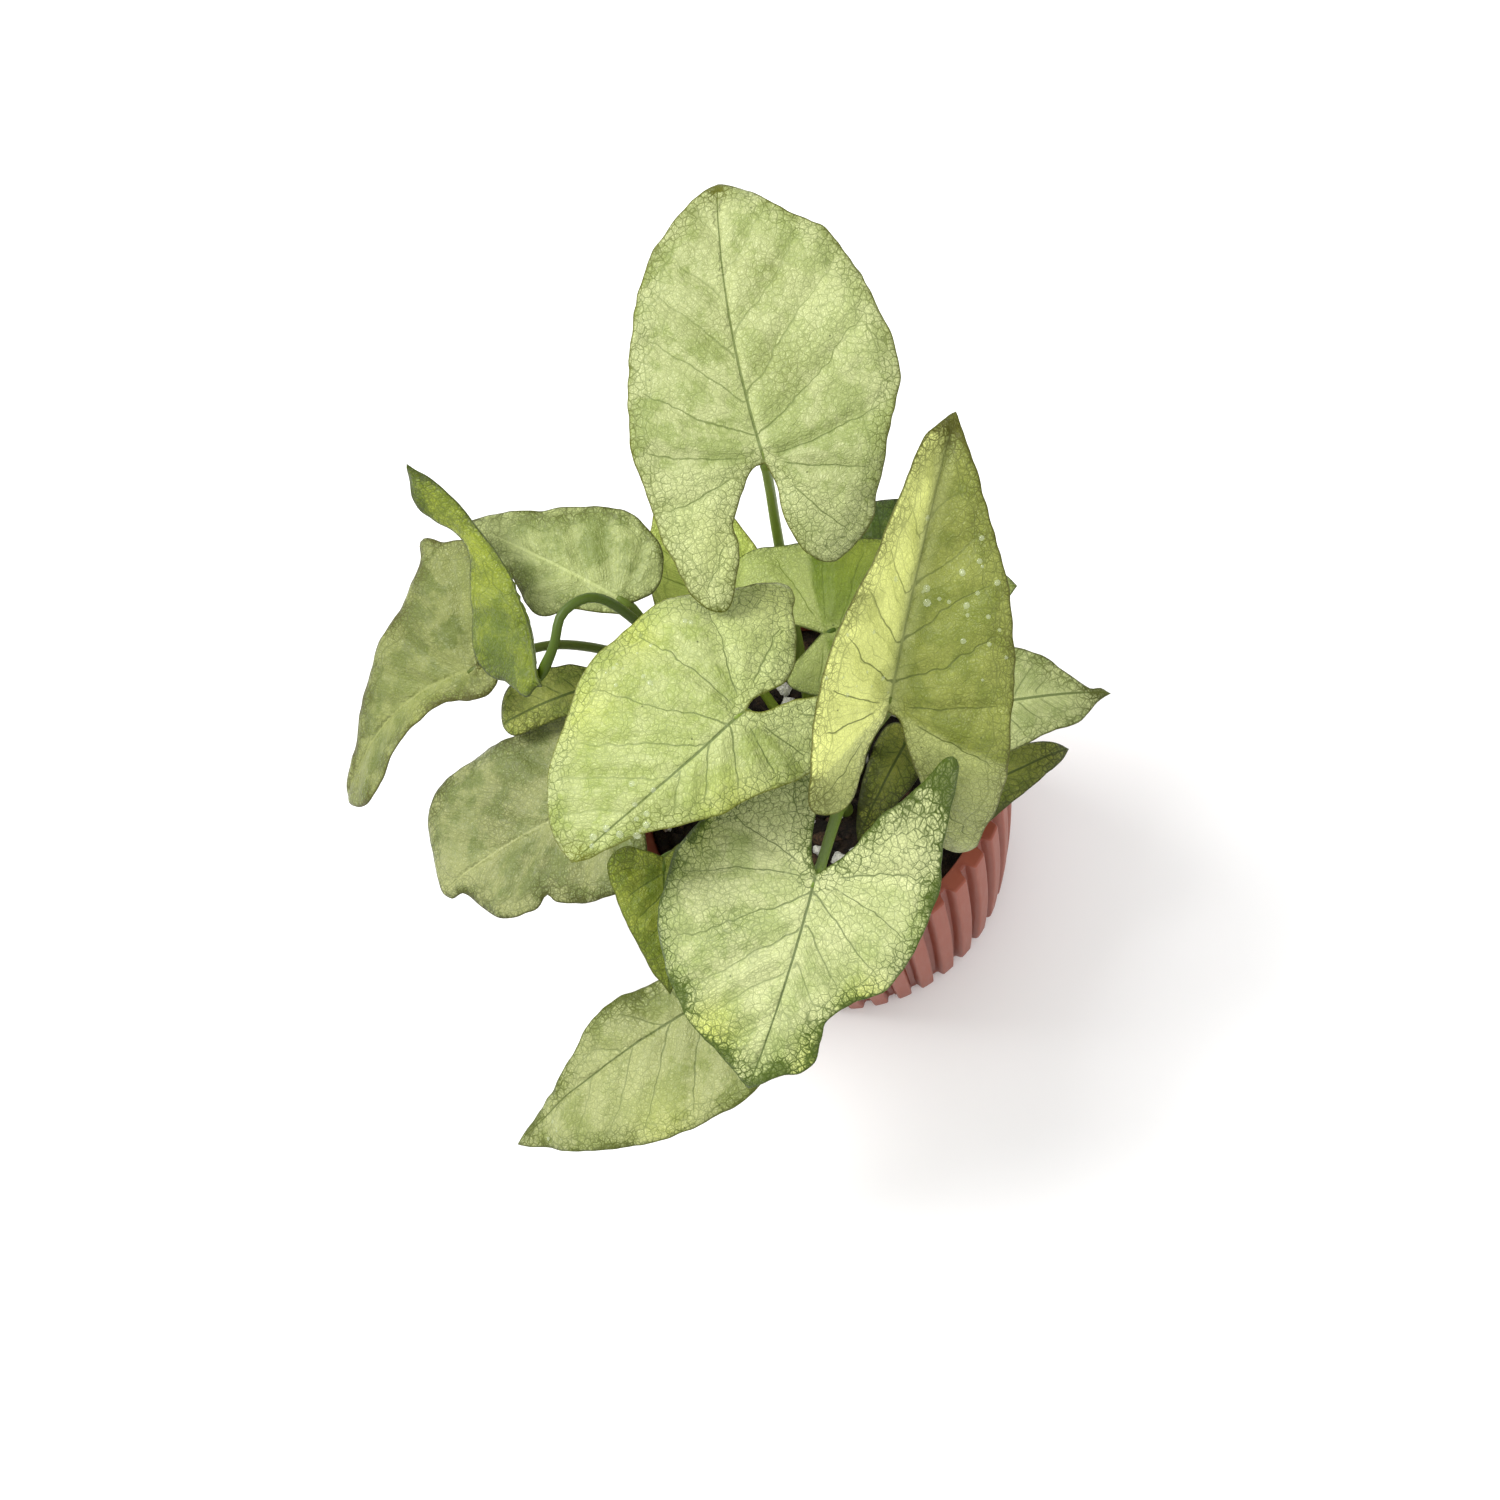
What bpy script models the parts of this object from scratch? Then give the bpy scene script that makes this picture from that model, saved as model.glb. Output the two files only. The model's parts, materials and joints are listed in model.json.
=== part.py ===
"""An arrowhead plant in its small fluted pot.

The pot stands on its flat base. Its axis is +Z and the middle of its underside is the origin.
Every leaf is one solid, a waved blade and the stalk that it grew with. The stalks stand in
holes in the potting mix. Sizes in this file are millimetres and degrees, and turn into metres
where a mesh is made.
"""

import math

import bmesh
import bpy
from mathutils import Vector
from mathutils.geometry import delaunay_2d_cdt

MM = 0.001
GAP = 0.3

# Pot
POT_HEIGHT = 56.0
POT_RIM_RADIUS = 37.5
POT_BASE_RADIUS = 32.6
POT_BELLY = 0.9
POT_RIBS = 40
RIB_DEPTH = 1.9
RIB_CREST_SHARE = 0.56
RIB_GROOVE_SHARE = 0.24
POT_BORE_RADIUS = 33.8
POT_BORE_BASE_RADIUS = 29.0
POT_FLOOR = 2.6
FOOT_HEIGHT = 2.4
FOOT_SET_BACK = 2.2
DRAIN_HOLES = 4
DRAIN_RADIUS = 2.6
DRAIN_CIRCLE_RADIUS = 16.0
DRAIN_SIDES = 10

# Potting mix
SOIL_TOP = 48.0
SOIL_SIDES = 40
SOIL_RINGS = (0.0, 9.0, 17.0, 25.0)
SOIL_LUMP = 0.7

# Leaves
BLADE_THICKNESS = 0.8
BLADE_SPACING = 6.2
EDGE_SPACING = 4.4
MIDRIB_SPACING = 6.0
NOTCH = -0.9
CREASE_WIDTH = 0.9
CUP_REACH = 22.0
LOBE_REACH = 20.0
TIP_REACH = 0.16

# Stalks
STALK_DEPTH = 9.0
STALK_STRAIGHT = 4.0
STALK_SIDES = 6
STALK_STEP = 8.0
STALK_TOP_RADIUS = 0.85
STALK_NECK_RADIUS = 0.55
STALK_REACH_INTO_BLADE = 1.6

# One entry for each leaf. base is the point where the stalk meets the blade. heading is the
# direction of the midrib seen from above, pitch its rise, roll the lift of its left half.
# fold and lobe hold a left and a right value: how far each half is turned up about the midrib,
# and how far the end of each lobe is lifted. The outlines run from the tip along the margin,
# round the lobe and back to the notch, as (along the midrib, out from it). via holds the points
# that the stalk passes on its way from the potting mix, and root where it leaves the mix.
LEAVES = [
    {
        "name": "leaf_back_tall",
        "base": (2.0, 28.8, 121.0), "heading": 99, "pitch": 14, "roll": 0, "length": 49.0,
        "arch": 24, "sway": 1.5, "fold": (7, 4), "cup": (-10, -8), "wave": 0.9, "lobe": (1.0, -2.0),
        "left": [(45.5, 4.5), (42, 9), (37, 13), (25, 17.5), (13, 20.5), (6, 21), (0, 20.5), (-9, 19),
                 (-18, 16.5), (-23, 12.5), (-22, 9.5), (-14, 6.8), (-9, 6.6), (-2, 2.6)],
        "right": [(47, 4), (43, 8), (38, 13.5), (35, 17), (25, 21.5), (11, 24.5), (5, 23), (0, 21),
                  (-12, 16), (-17, 12), (-19, 7.5), (-16.5, 3.5), (-11, 1.6), (-5, 1.0)],
        "root": (-1, 15), "via": [(-1.8, 27, 72), (-1.6, 33, 88), (-0.2, 32.5, 102)],
        "radius": 1.15, "colour": "pale",
    },
    {
        "name": "leaf_right_folded",
        "base": (21.9, -12.2, 112.0), "heading": 73, "pitch": 26, "roll": 0, "length": 47.5,
        "arch": 14, "sway": 0.0, "fold": (60, 0), "cup": (-12, -14), "wave": 0.7, "lobe": (0.0, -7.4),
        "left": [(43, 4.5), (38, 6.5), (31, 8), (21, 10.5), (10, 14), (1, 15), (-8, 14.5), (-14, 14),
                 (-17, 11), (-16, 6), (-11, 3), (-5, 1.4)],
        "right": [(43, 3), (39, 5.5), (33, 9), (26, 13), (15, 17), (0.5, 19.7), (-9, 20), (-19, 17.7),
                  (-25.6, 15), (-28.6, 12.3), (-26.5, 10), (-21, 9.6), (-13.4, 7.4), (-7.4, 4.5),
                  (-2, 2.3)],
        "root": (8, 2), "via": [(14, -2, 75)], "radius": 1.15, "colour": "lime",
    },
    {
        "name": "leaf_centre",
        "base": (-2.6, -10.8, 108.0), "heading": -143, "pitch": -12, "roll": 0, "length": 38.2,
        "arch": 26, "sway": 1.2, "fold": (-16, 8), "cup": (-14, -10), "wave": 0.9, "lobe": (-1.0, -3.0),
        "left": [(35, 1.8), (31, 3.2), (26, 5), (21, 7.5), (16, 10), (6, 12.5), (-1, 14), (-7, 13.5),
                 (-12, 10), (-13.5, 6), (-10, 3.6), (-7, 2.6), (-3, 1.8)],
        "right": [(37.8, 4), (36.5, 8), (33, 12), (29, 15.5), (18, 22), (7, 25), (0, 24.6),
                  (-9, 21.2), (-14.5, 18.6), (-20, 16.4), (-20.4, 14.2), (-18.2, 11), (-15.6, 7),
                  (-12.2, 2.8), (-9.4, 0.8), (-6, 0.6), (-3, 0.9)],
        "root": (-1, -1.5), "via": [(-1, -6, 76)], "radius": 1.15, "colour": "lime",
    },
    {
        "name": "leaf_front",
        "base": (7.2, -33.5, 90.0), "heading": -111, "pitch": -20, "roll": 0, "length": 37.0,
        "arch": 20, "sway": 1.0, "fold": (3, 4), "cup": (-8, -10), "wave": 1.0, "lobe": (19.5, -1.5),
        "left": [(35, 2.4), (33, 4.5), (31, 8), (28.5, 10), (25, 9.6), (21, 9.8), (17, 13), (13, 17.5),
                 (5, 20), (-4, 20.3), (-11.5, 19.4), (-17, 20), (-20, 19.8), (-20.4, 18), (-18.6, 15.6),
                 (-14.7, 11.7), (-11, 7.4), (-5, 3.6)],
        "right": [(34, 4.5), (30, 12), (24, 19), (16, 23.4), (6, 25), (0, 23.4), (-10, 18.5),
                  (-19.5, 11), (-17, 5.5), (-10, 3.8), (-4, 2.2)],
        "root": (6, -6), "via": [(8.0, -14, 70)], "radius": 1.35, "colour": "pale",
    },
    {
        "name": "leaf_front_low",
        "base": (-13.6, -46.6, 66.0), "heading": -150.5, "pitch": -22, "roll": 0, "length": 50.0,
        "arch": 24, "sway": -1.0, "fold": (4, 8), "cup": (-10, -6), "wave": 0.8, "lobe": (-1.0, -1.0),
        "left": [(46, 3), (38, 8.5), (27, 14.5), (18, 17), (7, 19), (-1, 17.5), (-8, 12.5), (-7.5, 6),
                 (-4, 2.6)],
        "right": [(45, 1.4), (40, 2.8), (35, 4), (30, 6), (25, 8.2), (20, 9.6), (14, 9.4), (7, 8),
                  (0, 7), (-5, 5), (-4.5, 2.6)],
        "root": (-4, -12), "via": [(-8, -29, 67)], "radius": 1.1, "colour": "pale",
    },
    {
        "name": "leaf_middle",
        "base": (7.6, 13.3, 86.0), "heading": 12, "pitch": 2, "roll": 0, "length": 34.5,
        "arch": 18, "sway": 0.0, "fold": (9, -4), "cup": (-8, -12), "wave": 0.8, "lobe": (-1.5, -2.0),
        "left": [(30, 5), (23, 10), (13, 14), (2, 17), (-8, 19.3), (-14, 18.6), (-18, 14), (-12, 8),
                 (-5, 2.8)],
        "right": [(31, 3), (22, 8), (11, 12), (3, 12.5), (-3, 11), (-9, 7.5), (-8, 3.8), (-4, 1.8)],
        "root": (5, 11), "via": [(6.5, 12.5, 68)], "radius": 1.0, "colour": "green",
    },
    {
        "name": "leaf_left_low",
        "base": (-32.1, -12.2, 76.0), "heading": -158, "pitch": -18, "roll": 0, "length": 39.2,
        "arch": 22, "sway": -1.0, "fold": (2, 6), "cup": (-10, -12), "wave": 1.2, "lobe": (-2.0, 1.5),
        "left": [(37.5, 2.2), (36, 2.4), (34, 3), (31, 8), (27, 11.4), (21, 13), (18, 11.6),
                 (16.5, 14), (9, 17), (3, 17), (-2, 13), (-3.5, 5)],
        "right": [(38.5, 8), (36, 14.5), (31, 19), (22, 20.5), (13, 19), (7, 19.5), (1, 18.5),
                  (-3, 12), (-2.5, 5)],
        "root": (-13, -5), "via": [(-22, -9, 68)], "radius": 1.1, "colour": "grey",
    },
    {
        "name": "leaf_small_front",
        "base": (-21.0, -26.5, 80.0), "heading": -90, "pitch": -24, "roll": -6, "length": 23.5,
        "arch": 16, "sway": 0.0, "fold": (20, 10), "cup": (-6, -6), "wave": 0.5, "lobe": (0.0, 0.5),
        "left": [(16, 3.5), (8, 6), (1, 6.5), (-3, 4)],
        "right": [(19, 2.6), (12, 6), (6, 8.5), (0, 10), (-2.5, 7), (-2, 3)],
        "root": (-10, -11), "via": [(-15, -19, 70)], "radius": 1.0, "colour": "green",
    },
    {
        "name": "leaf_far_left",
        "base": (-56.6, 9.3, 86.0), "heading": -155, "pitch": -36, "roll": 0, "length": 44.0,
        "arch": 26, "sway": -4.0, "fold": (8, 14), "cup": (-14, -10), "wave": 1.0, "lobe": (0.0, 1.0),
        "left": [(42, 2.4), (38, 5.2), (33, 5.4), (25, 3.2), (17, 1.8), (8, 2.6), (0, 6.5), (-4, 5.5),
                 (-3, 2)],
        "right": [(41.5, 2.2), (35, 5.2), (29, 8.4), (24, 11.6), (17, 15.6), (6, 20), (0, 22), (-2.5, 26),
                  (-6, 23.4), (-11, 21), (-13, 14), (-7, 5)],
        "root": (-14, 12), "via": [(-26, 15, 70), (-42, 15.5, 81)], "radius": 1.05, "colour": "lime",
    },
    {
        "name": "leaf_left_narrow",
        "base": (-40.7, -0.4, 100.0), "heading": 121, "pitch": 16, "roll": 0, "length": 45.4,
        "arch": -14, "sway": -5.0, "fold": (-38, 76), "cup": (0, 10), "wave": 0.8, "lobe": (0.0, 1.0),
        "left": [(41.5, 2.6), (38.5, 3.4), (35, 2.2), (31, 0), (26.5, -0.4), (22.5, 2.8), (17.2, 7.4),
                 (12.4, 9.6), (7.4, 8.8), (3.4, 5.4), (-1, 2.8)],
        "right": [(41.5, 1.8), (37, 3.4), (31, 4.8), (25, 5.8), (18, 6), (10, 5.4), (4, 4.8),
                  (-1.5, 2.4)],
        "root": (-9, 4), "via": [(-17.5, 9.6, 74), (-24.5, 12.4, 96), (-29.4, 12.6, 105.5),
                                 (-34.4, 9.2, 107), (-36.4, 4.0, 104.5)],
        "radius": 0.95, "colour": "green",
    },
    {
        "name": "leaf_back_left",
        "base": (-26.9, 16.8, 95.0), "heading": 151, "pitch": 0, "roll": 0, "length": 36.0,
        "arch": 22, "sway": 0.0, "fold": (-8, 8), "cup": (-10, -10), "wave": 0.8, "lobe": (-2.0, -1.0),
        "left": [(32, 1.6), (22, 5), (15, 9), (10.5, 8.6), (7, 5.5), (2, 3.4), (-2, 1.6)],
        "right": [(30, 4), (22, 8), (15, 12), (10, 14), (5, 14), (0, 12), (-3, 8), (-3.5, 3.5)],
        "root": (-10, 9), "via": [(-20, 13.5, 72)], "radius": 1.0, "colour": "pale",
    },
    {
        "name": "leaf_back_olive",
        "base": (-15.9, 23.2, 79.0), "heading": 96, "pitch": 16, "roll": 0, "length": 25.0,
        "arch": 18, "sway": 0.0, "fold": (14, 8), "cup": (-8, -8), "wave": 0.6, "lobe": (0.0, 0.0),
        "left": [(21, 5.5), (14, 8.4), (6, 9.6), (-2, 9), (-6, 6), (-4, 2)],
        "right": [(20, 4), (14, 8), (8, 11), (0, 10), (-5, 7), (-4, 3)],
        "root": (-5, 10.5), "via": [(-12, 18, 68)], "radius": 0.95, "colour": "olive",
    },
    {
        "name": "leaf_back_dark",
        "base": (24.0, 22.5, 84.0), "heading": 140, "pitch": 6, "roll": 0, "length": 20.0,
        "arch": 20, "sway": 0.0, "fold": (14, 10), "cup": (-6, -8), "wave": 0.6, "lobe": (0.0, 0.0),
        "left": [(16, 2.5), (9, 6), (1, 8), (-5, 7), (-4, 3)],
        "right": [(18, 4), (15, 8), (9, 11), (1, 10), (-5, 7), (-4, 3)],
        "root": (12, 14), "via": [(17, 19, 66)], "radius": 0.95, "colour": "dark",
    },
    {
        "name": "leaf_right",
        "base": (35.0, -0.9, 84.0), "heading": 8, "pitch": -8, "roll": 0, "length": 22.5,
        "arch": 22, "sway": 0.0, "fold": (8, -10), "cup": (-8, -10), "wave": 0.6, "lobe": (-1.0, -1.0),
        "left": [(20.5, 0.8), (18, 1.0), (14, 4.2), (12, 6.8), (9, 8.5), (3, 10), (-4, 8), (-5, 3.2)],
        "right": [(20, 1.4), (16, 5), (10, 6.6), (4, 8.3), (-2, 9), (-5.5, 6.5), (-4.5, 2.8)],
        "root": (16, 5), "via": [(24, 3, 68)], "radius": 1.0, "colour": "pale",
    },
    {
        "name": "leaf_right_low",
        "base": (28.5, -12.2, 68.0), "heading": 27, "pitch": -6, "roll": 0, "length": 23.0,
        "arch": 18, "sway": 0.0, "fold": (8, -8), "cup": (-8, -8), "wave": 0.6, "lobe": (-0.5, -0.5),
        "left": [(20, 2), (16, 4), (12, 5.5), (6, 7), (0, 6.5), (-4, 4.5), (-3.5, 2)],
        "right": [(20, 2), (15, 3.6), (9, 5), (3, 6), (-3, 5.5), (-5, 3.5), (-3.5, 1.6)],
        "root": (14, -6.5), "via": [(20.5, -9.5, 59)], "radius": 0.95, "colour": "dark",
    },
    {
        "name": "leaf_inner_low",
        "base": (19.0, 0.6, 64.0), "heading": -118, "pitch": -12, "roll": 0, "length": 20.0,
        "arch": 16, "sway": 0.0, "fold": (10, 8), "cup": (-6, -6), "wave": 0.4, "lobe": (0.0, 0.0),
        "left": [(16, 2.4), (9, 4.5), (3, 5.5), (-2, 4.5), (-3, 2)],
        "right": [(15, 2.2), (8, 4), (2, 5), (-2, 4.2), (-3, 2)],
        "root": (15.5, 0.5), "via": [(18, 1.5, 57)], "radius": 0.9, "colour": "olive",
    },
    {
        "name": "leaf_small_left",
        "base": (-36.8, 6.2, 82.0), "heading": -164, "pitch": -14, "roll": 0, "length": 18.0,
        "arch": 26, "sway": 0.0, "fold": (-20, 16), "cup": (-12, 6), "wave": 0.6, "lobe": (-1.0, 0.5),
        "left": [(16, 3), (11, 3.4), (5, 3.8), (0, 3.6), (-3, 1.8)],
        "right": [(16, 4), (12, 6), (6, 6), (0, 4.6), (-3, 2)],
        "root": (-15.5, 5), "via": [(-24, 6, 66)], "radius": 0.95, "colour": "green",
    },
]

# Base colour and roughness of each finish
FINISHES = {
    "pale": ((0.56, 0.66, 0.30), 0.46),
    "lime": ((0.50, 0.62, 0.16), 0.44),
    "green": ((0.27, 0.40, 0.08), 0.46),
    "grey": ((0.42, 0.50, 0.24), 0.48),
    "olive": ((0.34, 0.40, 0.08), 0.48),
    "dark": ((0.15, 0.25, 0.05), 0.46),
    "pot": ((0.48, 0.20, 0.17), 0.42),
    "soil": ((0.022, 0.017, 0.013), 0.95),
}


def clear_scene():
    for obj in list(bpy.data.objects):
        bpy.data.objects.remove(obj, do_unlink=True)


def material(name, finish):
    colour, roughness = FINISHES[finish]
    made = bpy.data.materials.new(name)
    made.use_nodes = True
    shader = made.node_tree.nodes["Principled BSDF"]
    shader.inputs["Base Color"].default_value = (*colour, 1.0)
    shader.inputs["Roughness"].default_value = roughness
    shader.inputs["Metallic"].default_value = 0.0
    made.diffuse_color = (*colour, 1.0)
    return made


def node_object(name, points, faces, finish):
    """An object from points in millimetres and its faces, with the normals facing out."""
    mesh = bpy.data.meshes.new(name)
    mesh.from_pydata([Vector(p) * MM for p in points], [], faces)
    work = bmesh.new()
    work.from_mesh(mesh)
    bmesh.ops.recalc_face_normals(work, faces=work.faces)
    work.to_mesh(mesh)
    work.free()
    obj = bpy.data.objects.new(name, mesh)
    bpy.context.scene.collection.objects.link(obj)
    if finish:
        mesh.materials.append(material(name, finish))
    return obj


def apply_boolean(obj, other, operation):
    """Joins another object to this one or cuts it out of this one, and removes the other."""
    modifier = obj.modifiers.new("join", "BOOLEAN")
    modifier.operation = operation
    modifier.solver = "EXACT"
    modifier.object = other
    graph = bpy.context.evaluated_depsgraph_get()
    graph.update()
    made = bpy.data.meshes.new_from_object(obj.evaluated_get(graph))
    obj.modifiers.clear()
    old = obj.data
    obj.data = made
    made.name = obj.name
    bpy.data.meshes.remove(old)
    bpy.data.objects.remove(other, do_unlink=True)


def catmull_rom(points, steps):
    """Points along a smooth curve through the given ones, with some steps between each two."""
    padded = [points[0] * 2 - points[1]] + list(points) + [points[-1] * 2 - points[-2]]
    curve = []
    for i in range(len(points) - 1):
        a, b, c, d = padded[i:i + 4]
        for k in range(steps):
            t = k / steps
            curve.append(
                0.5 * (2 * b + (c - a) * t + (2 * a - 5 * b + 4 * c - d) * t ** 2
                       + (3 * b - a - 3 * c + d) * t ** 3)
            )
    curve.append(points[-1].copy())
    return curve


def resample(curve, spacing):
    """The curve again with its points nearly one spacing apart, ends kept."""
    reach = [0.0]
    for a, b in zip(curve, curve[1:]):
        reach.append(reach[-1] + (b - a).length)
    count = max(2, round(reach[-1] / spacing))
    even = []
    i = 0
    for k in range(count + 1):
        want = reach[-1] * k / count
        while i < len(curve) - 2 and reach[i + 1] < want:
            i += 1
        share = (want - reach[i]) / max(reach[i + 1] - reach[i], 1e-9)
        even.append(curve[i].lerp(curve[i + 1], min(max(share, 0.0), 1.0)))
    return even


def half_outline(leaf, side):
    """One half of the flat blade's edge, from the tip round the lobe to the notch."""
    sign = 1 if side == "left" else -1
    points = [Vector((leaf["length"], 0.0))]
    points += [Vector((along, sign * out)) for along, out in leaf[side]]
    points.append(Vector((NOTCH, 0.0)))
    return resample(catmull_rom(points, 8), EDGE_SPACING)


def midrib_side(leaf, along):
    """How far the curved midrib lies to the left of a straight one."""
    share = min(max(along / leaf["length"], 0.0), 1.0)
    return leaf["sway"] * 4 * share * (1 - share)


def inside(point, outline):
    hit = False
    for a, b in zip(outline, outline[1:] + outline[:1]):
        if (a.y > point.y) != (b.y > point.y):
            if point.x < a.x + (point.y - a.y) * (b.x - a.x) / (b.y - a.y):
                hit = not hit
    return hit


def flat_blade(leaf):
    """The flat blade as points and triangles, and its edge as a loop of point numbers."""
    left = half_outline(leaf, "left")
    right = half_outline(leaf, "right")
    outline = left + right[-2:0:-1]
    count = max(2, round(leaf["length"] / MIDRIB_SPACING))
    midrib = []
    for k in range(1, count):
        along = leaf["length"] * k / count
        midrib.append(Vector((along, midrib_side(leaf, along))))
    points = list(outline)
    edges = [(i, (i + 1) % len(outline)) for i in range(len(outline))]
    chain = [0] + list(range(len(points) + len(midrib) - 1, len(points) - 1, -1)) + [len(left) - 1]
    points += midrib
    edges += list(zip(chain, chain[1:]))
    step = BLADE_SPACING
    for row in range(-8, 12):
        for col in range(-8, 9):
            spot = Vector((row * step * 0.87, (col + 0.5 * (row % 2)) * step))
            near = min((spot - p).length for p in points)
            if near > 0.55 * step and inside(spot, outline):
                points.append(spot)
    flat, _, triangles, *_ = delaunay_2d_cdt(points, edges, [], 1, 1e-4)
    return flat, [list(t) for t in triangles], len(outline)


def blade_frame(leaf):
    """The blade's forward, left and up directions."""
    heading = math.radians(leaf["heading"])
    pitch = math.radians(leaf["pitch"])
    roll = math.radians(leaf["roll"])
    forward = Vector((math.cos(pitch) * math.cos(heading), math.cos(pitch) * math.sin(heading),
                      math.sin(pitch)))
    level = Vector((-math.sin(heading), math.cos(heading), 0.0))
    up = forward.cross(level)
    return forward, level * math.cos(roll) + up * math.sin(roll), up * math.cos(roll) - level * math.sin(roll)


def bend(leaf, along, out):
    """A point of the flat blade, folded, cupped, waved and arched into its real place."""
    length = leaf["length"]
    middle = midrib_side(leaf, along)
    side = 0 if out >= middle else 1
    reach = abs(out - middle)
    fold = math.radians(leaf["fold"][side]) * (1 - math.exp(-reach / CREASE_WIDTH))
    curl = math.radians(leaf["cup"][side]) * reach / CUP_REACH
    across = reach * math.cos(fold + curl / 2)
    lift = reach * math.sin(fold + curl / 2)
    turn = along / length * 2.2 + (0.0 if side == 0 else 0.37)
    lift += leaf["wave"] * min(reach / CUP_REACH, 1.0) ** 2 * math.sin(2 * math.pi * turn)
    if along < 0:
        lift += leaf["lobe"][side] * (-along / LOBE_REACH) ** 2
    tip = max(0.0, (along / length - 1 + TIP_REACH) / TIP_REACH)
    lift -= 0.6 * tip ** 2
    arch = math.radians(leaf["arch"])
    start = arch / 2
    rate = arch / length
    angle = start - rate * along
    if abs(rate) < 1e-6:
        spine = Vector((along, 0.0))
    else:
        spine = Vector(((math.sin(start) - math.sin(angle)) / rate,
                        (math.cos(angle) - math.cos(start)) / rate))
    forward = spine.x - lift * math.sin(angle)
    height = spine.y + lift * math.cos(angle)
    left = middle + across * (1 if side == 0 else -1)
    ahead, leftward, up = blade_frame(leaf)
    return Vector(leaf["base"]) + ahead * forward + leftward * left + up * height


def blade_solid(leaf):
    """The blade's two faces, alike triangle for triangle, and the band that closes its edge."""
    flat, triangles, edge_count = flat_blade(leaf)
    middle = [bend(leaf, p.x, p.y) for p in flat]
    normals = [Vector((0.0, 0.0, 0.0)) for _ in middle]
    for a, b, c in triangles:
        face = (middle[b] - middle[a]).cross(middle[c] - middle[a])
        for i in (a, b, c):
            normals[i] += face
    half = BLADE_THICKNESS / 2
    top = [p + n.normalized() * half for p, n in zip(middle, normals)]
    under = [p - n.normalized() * half for p, n in zip(middle, normals)]
    count = len(middle)
    faces = [tuple(t) for t in triangles]
    faces += [(c + count, b + count, a + count) for a, b, c in triangles]
    for i in range(edge_count):
        j = (i + 1) % edge_count
        faces.append((i, j, j + count))
        faces.append((i, j + count, i + count))
    return top + under, faces


def stalk_path(leaf):
    """The stalk's middle line, from its end in the potting mix up to the blade."""
    root = Vector((*leaf["root"], SOIL_TOP))
    first = Vector(leaf["via"][0])
    lean = (first - root).normalized()
    ahead, _, up = blade_frame(leaf)
    rise = math.radians(leaf["arch"] / 2)
    along = ahead * math.cos(rise) + up * math.sin(rise)
    base = Vector(leaf["base"])
    points = [root - lean * STALK_DEPTH, root + lean * STALK_STRAIGHT]
    points += [Vector(p) for p in leaf["via"]]
    points += [base - up * 1.0 - along * 0.4]
    path = resample(catmull_rom(points, 8), STALK_STEP)
    if (path[-1] - path[-2]).dot(along) > 0:
        path.append(base + along * STALK_REACH_INTO_BLADE)
    else:
        path[-1] = base - up * 0.3
    return path, lean, root


def tube(path, radii, sides):
    """A closed tube along a path, as points and faces, carried along without twist."""
    points = []
    normal = None
    for i, (p, radius) in enumerate(zip(path, radii)):
        ahead = (path[min(i + 1, len(path) - 1)] - path[max(i - 1, 0)]).normalized()
        if normal is None:
            normal = ahead.orthogonal().normalized()
        normal = (normal - ahead * normal.dot(ahead)).normalized()
        other = ahead.cross(normal)
        for k in range(sides):
            turn = 2 * math.pi * k / sides
            points.append(p + (normal * math.cos(turn) + other * math.sin(turn)) * radius)
    faces = [tuple(range(sides))[::-1]]
    for i in range(len(path) - 1):
        for k in range(sides):
            n = (k + 1) % sides
            faces.append((i * sides + k, i * sides + n, (i + 1) * sides + n, (i + 1) * sides + k))
    last = (len(path) - 1) * sides
    faces.append(tuple(last + k for k in range(sides)))
    return points, faces


def build_leaf(leaf):
    points, faces = blade_solid(leaf)
    obj = node_object(leaf["name"], points, faces, leaf["colour"])
    path, _, _ = stalk_path(leaf)
    count = len(path) - 1
    radii = []
    for i in range(count):
        share = i / (count - 1)
        radii.append(leaf["radius"] * (1 - share) + STALK_TOP_RADIUS * share)
    radii.append(STALK_NECK_RADIUS)
    stalk = node_object("stalk", *tube(path, radii, STALK_SIDES), None)
    apply_boolean(obj, stalk, "UNION")
    obj.data.shade_smooth()
    obj.data.set_sharp_from_angle(angle=math.radians(50))
    return obj


def rib_radius(share, radius, depth):
    """The fluted wall's radius at a share of one rib's pitch, with the crest at its middle."""
    away = abs(share - 0.5) * 2
    if away <= RIB_CREST_SHARE:
        return radius
    if away >= 1 - RIB_GROOVE_SHARE:
        return radius - depth
    fall = (away - RIB_CREST_SHARE) / (1 - RIB_GROOVE_SHARE - RIB_CREST_SHARE)
    return radius - depth * fall


def rib_ring(radius, depth, height):
    """One ring of the fluted wall: the two corners of each crest and of each groove."""
    crest = RIB_CREST_SHARE / 2
    groove = (1 - RIB_GROOVE_SHARE) / 2
    ring = []
    for rib in range(POT_RIBS):
        for share in (0.5 - groove, 0.5 - crest, 0.5 + crest, 0.5 + groove):
            turn = 2 * math.pi * (rib + share) / POT_RIBS
            r = rib_radius(share, radius, depth)
            ring.append((r * math.cos(turn), r * math.sin(turn), height))
    return ring


def pot_radius(height):
    share = height / POT_HEIGHT
    straight = POT_BASE_RADIUS + (POT_RIM_RADIUS - POT_BASE_RADIUS) * share
    return straight + POT_BELLY * 4 * share * (1 - share)


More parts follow.
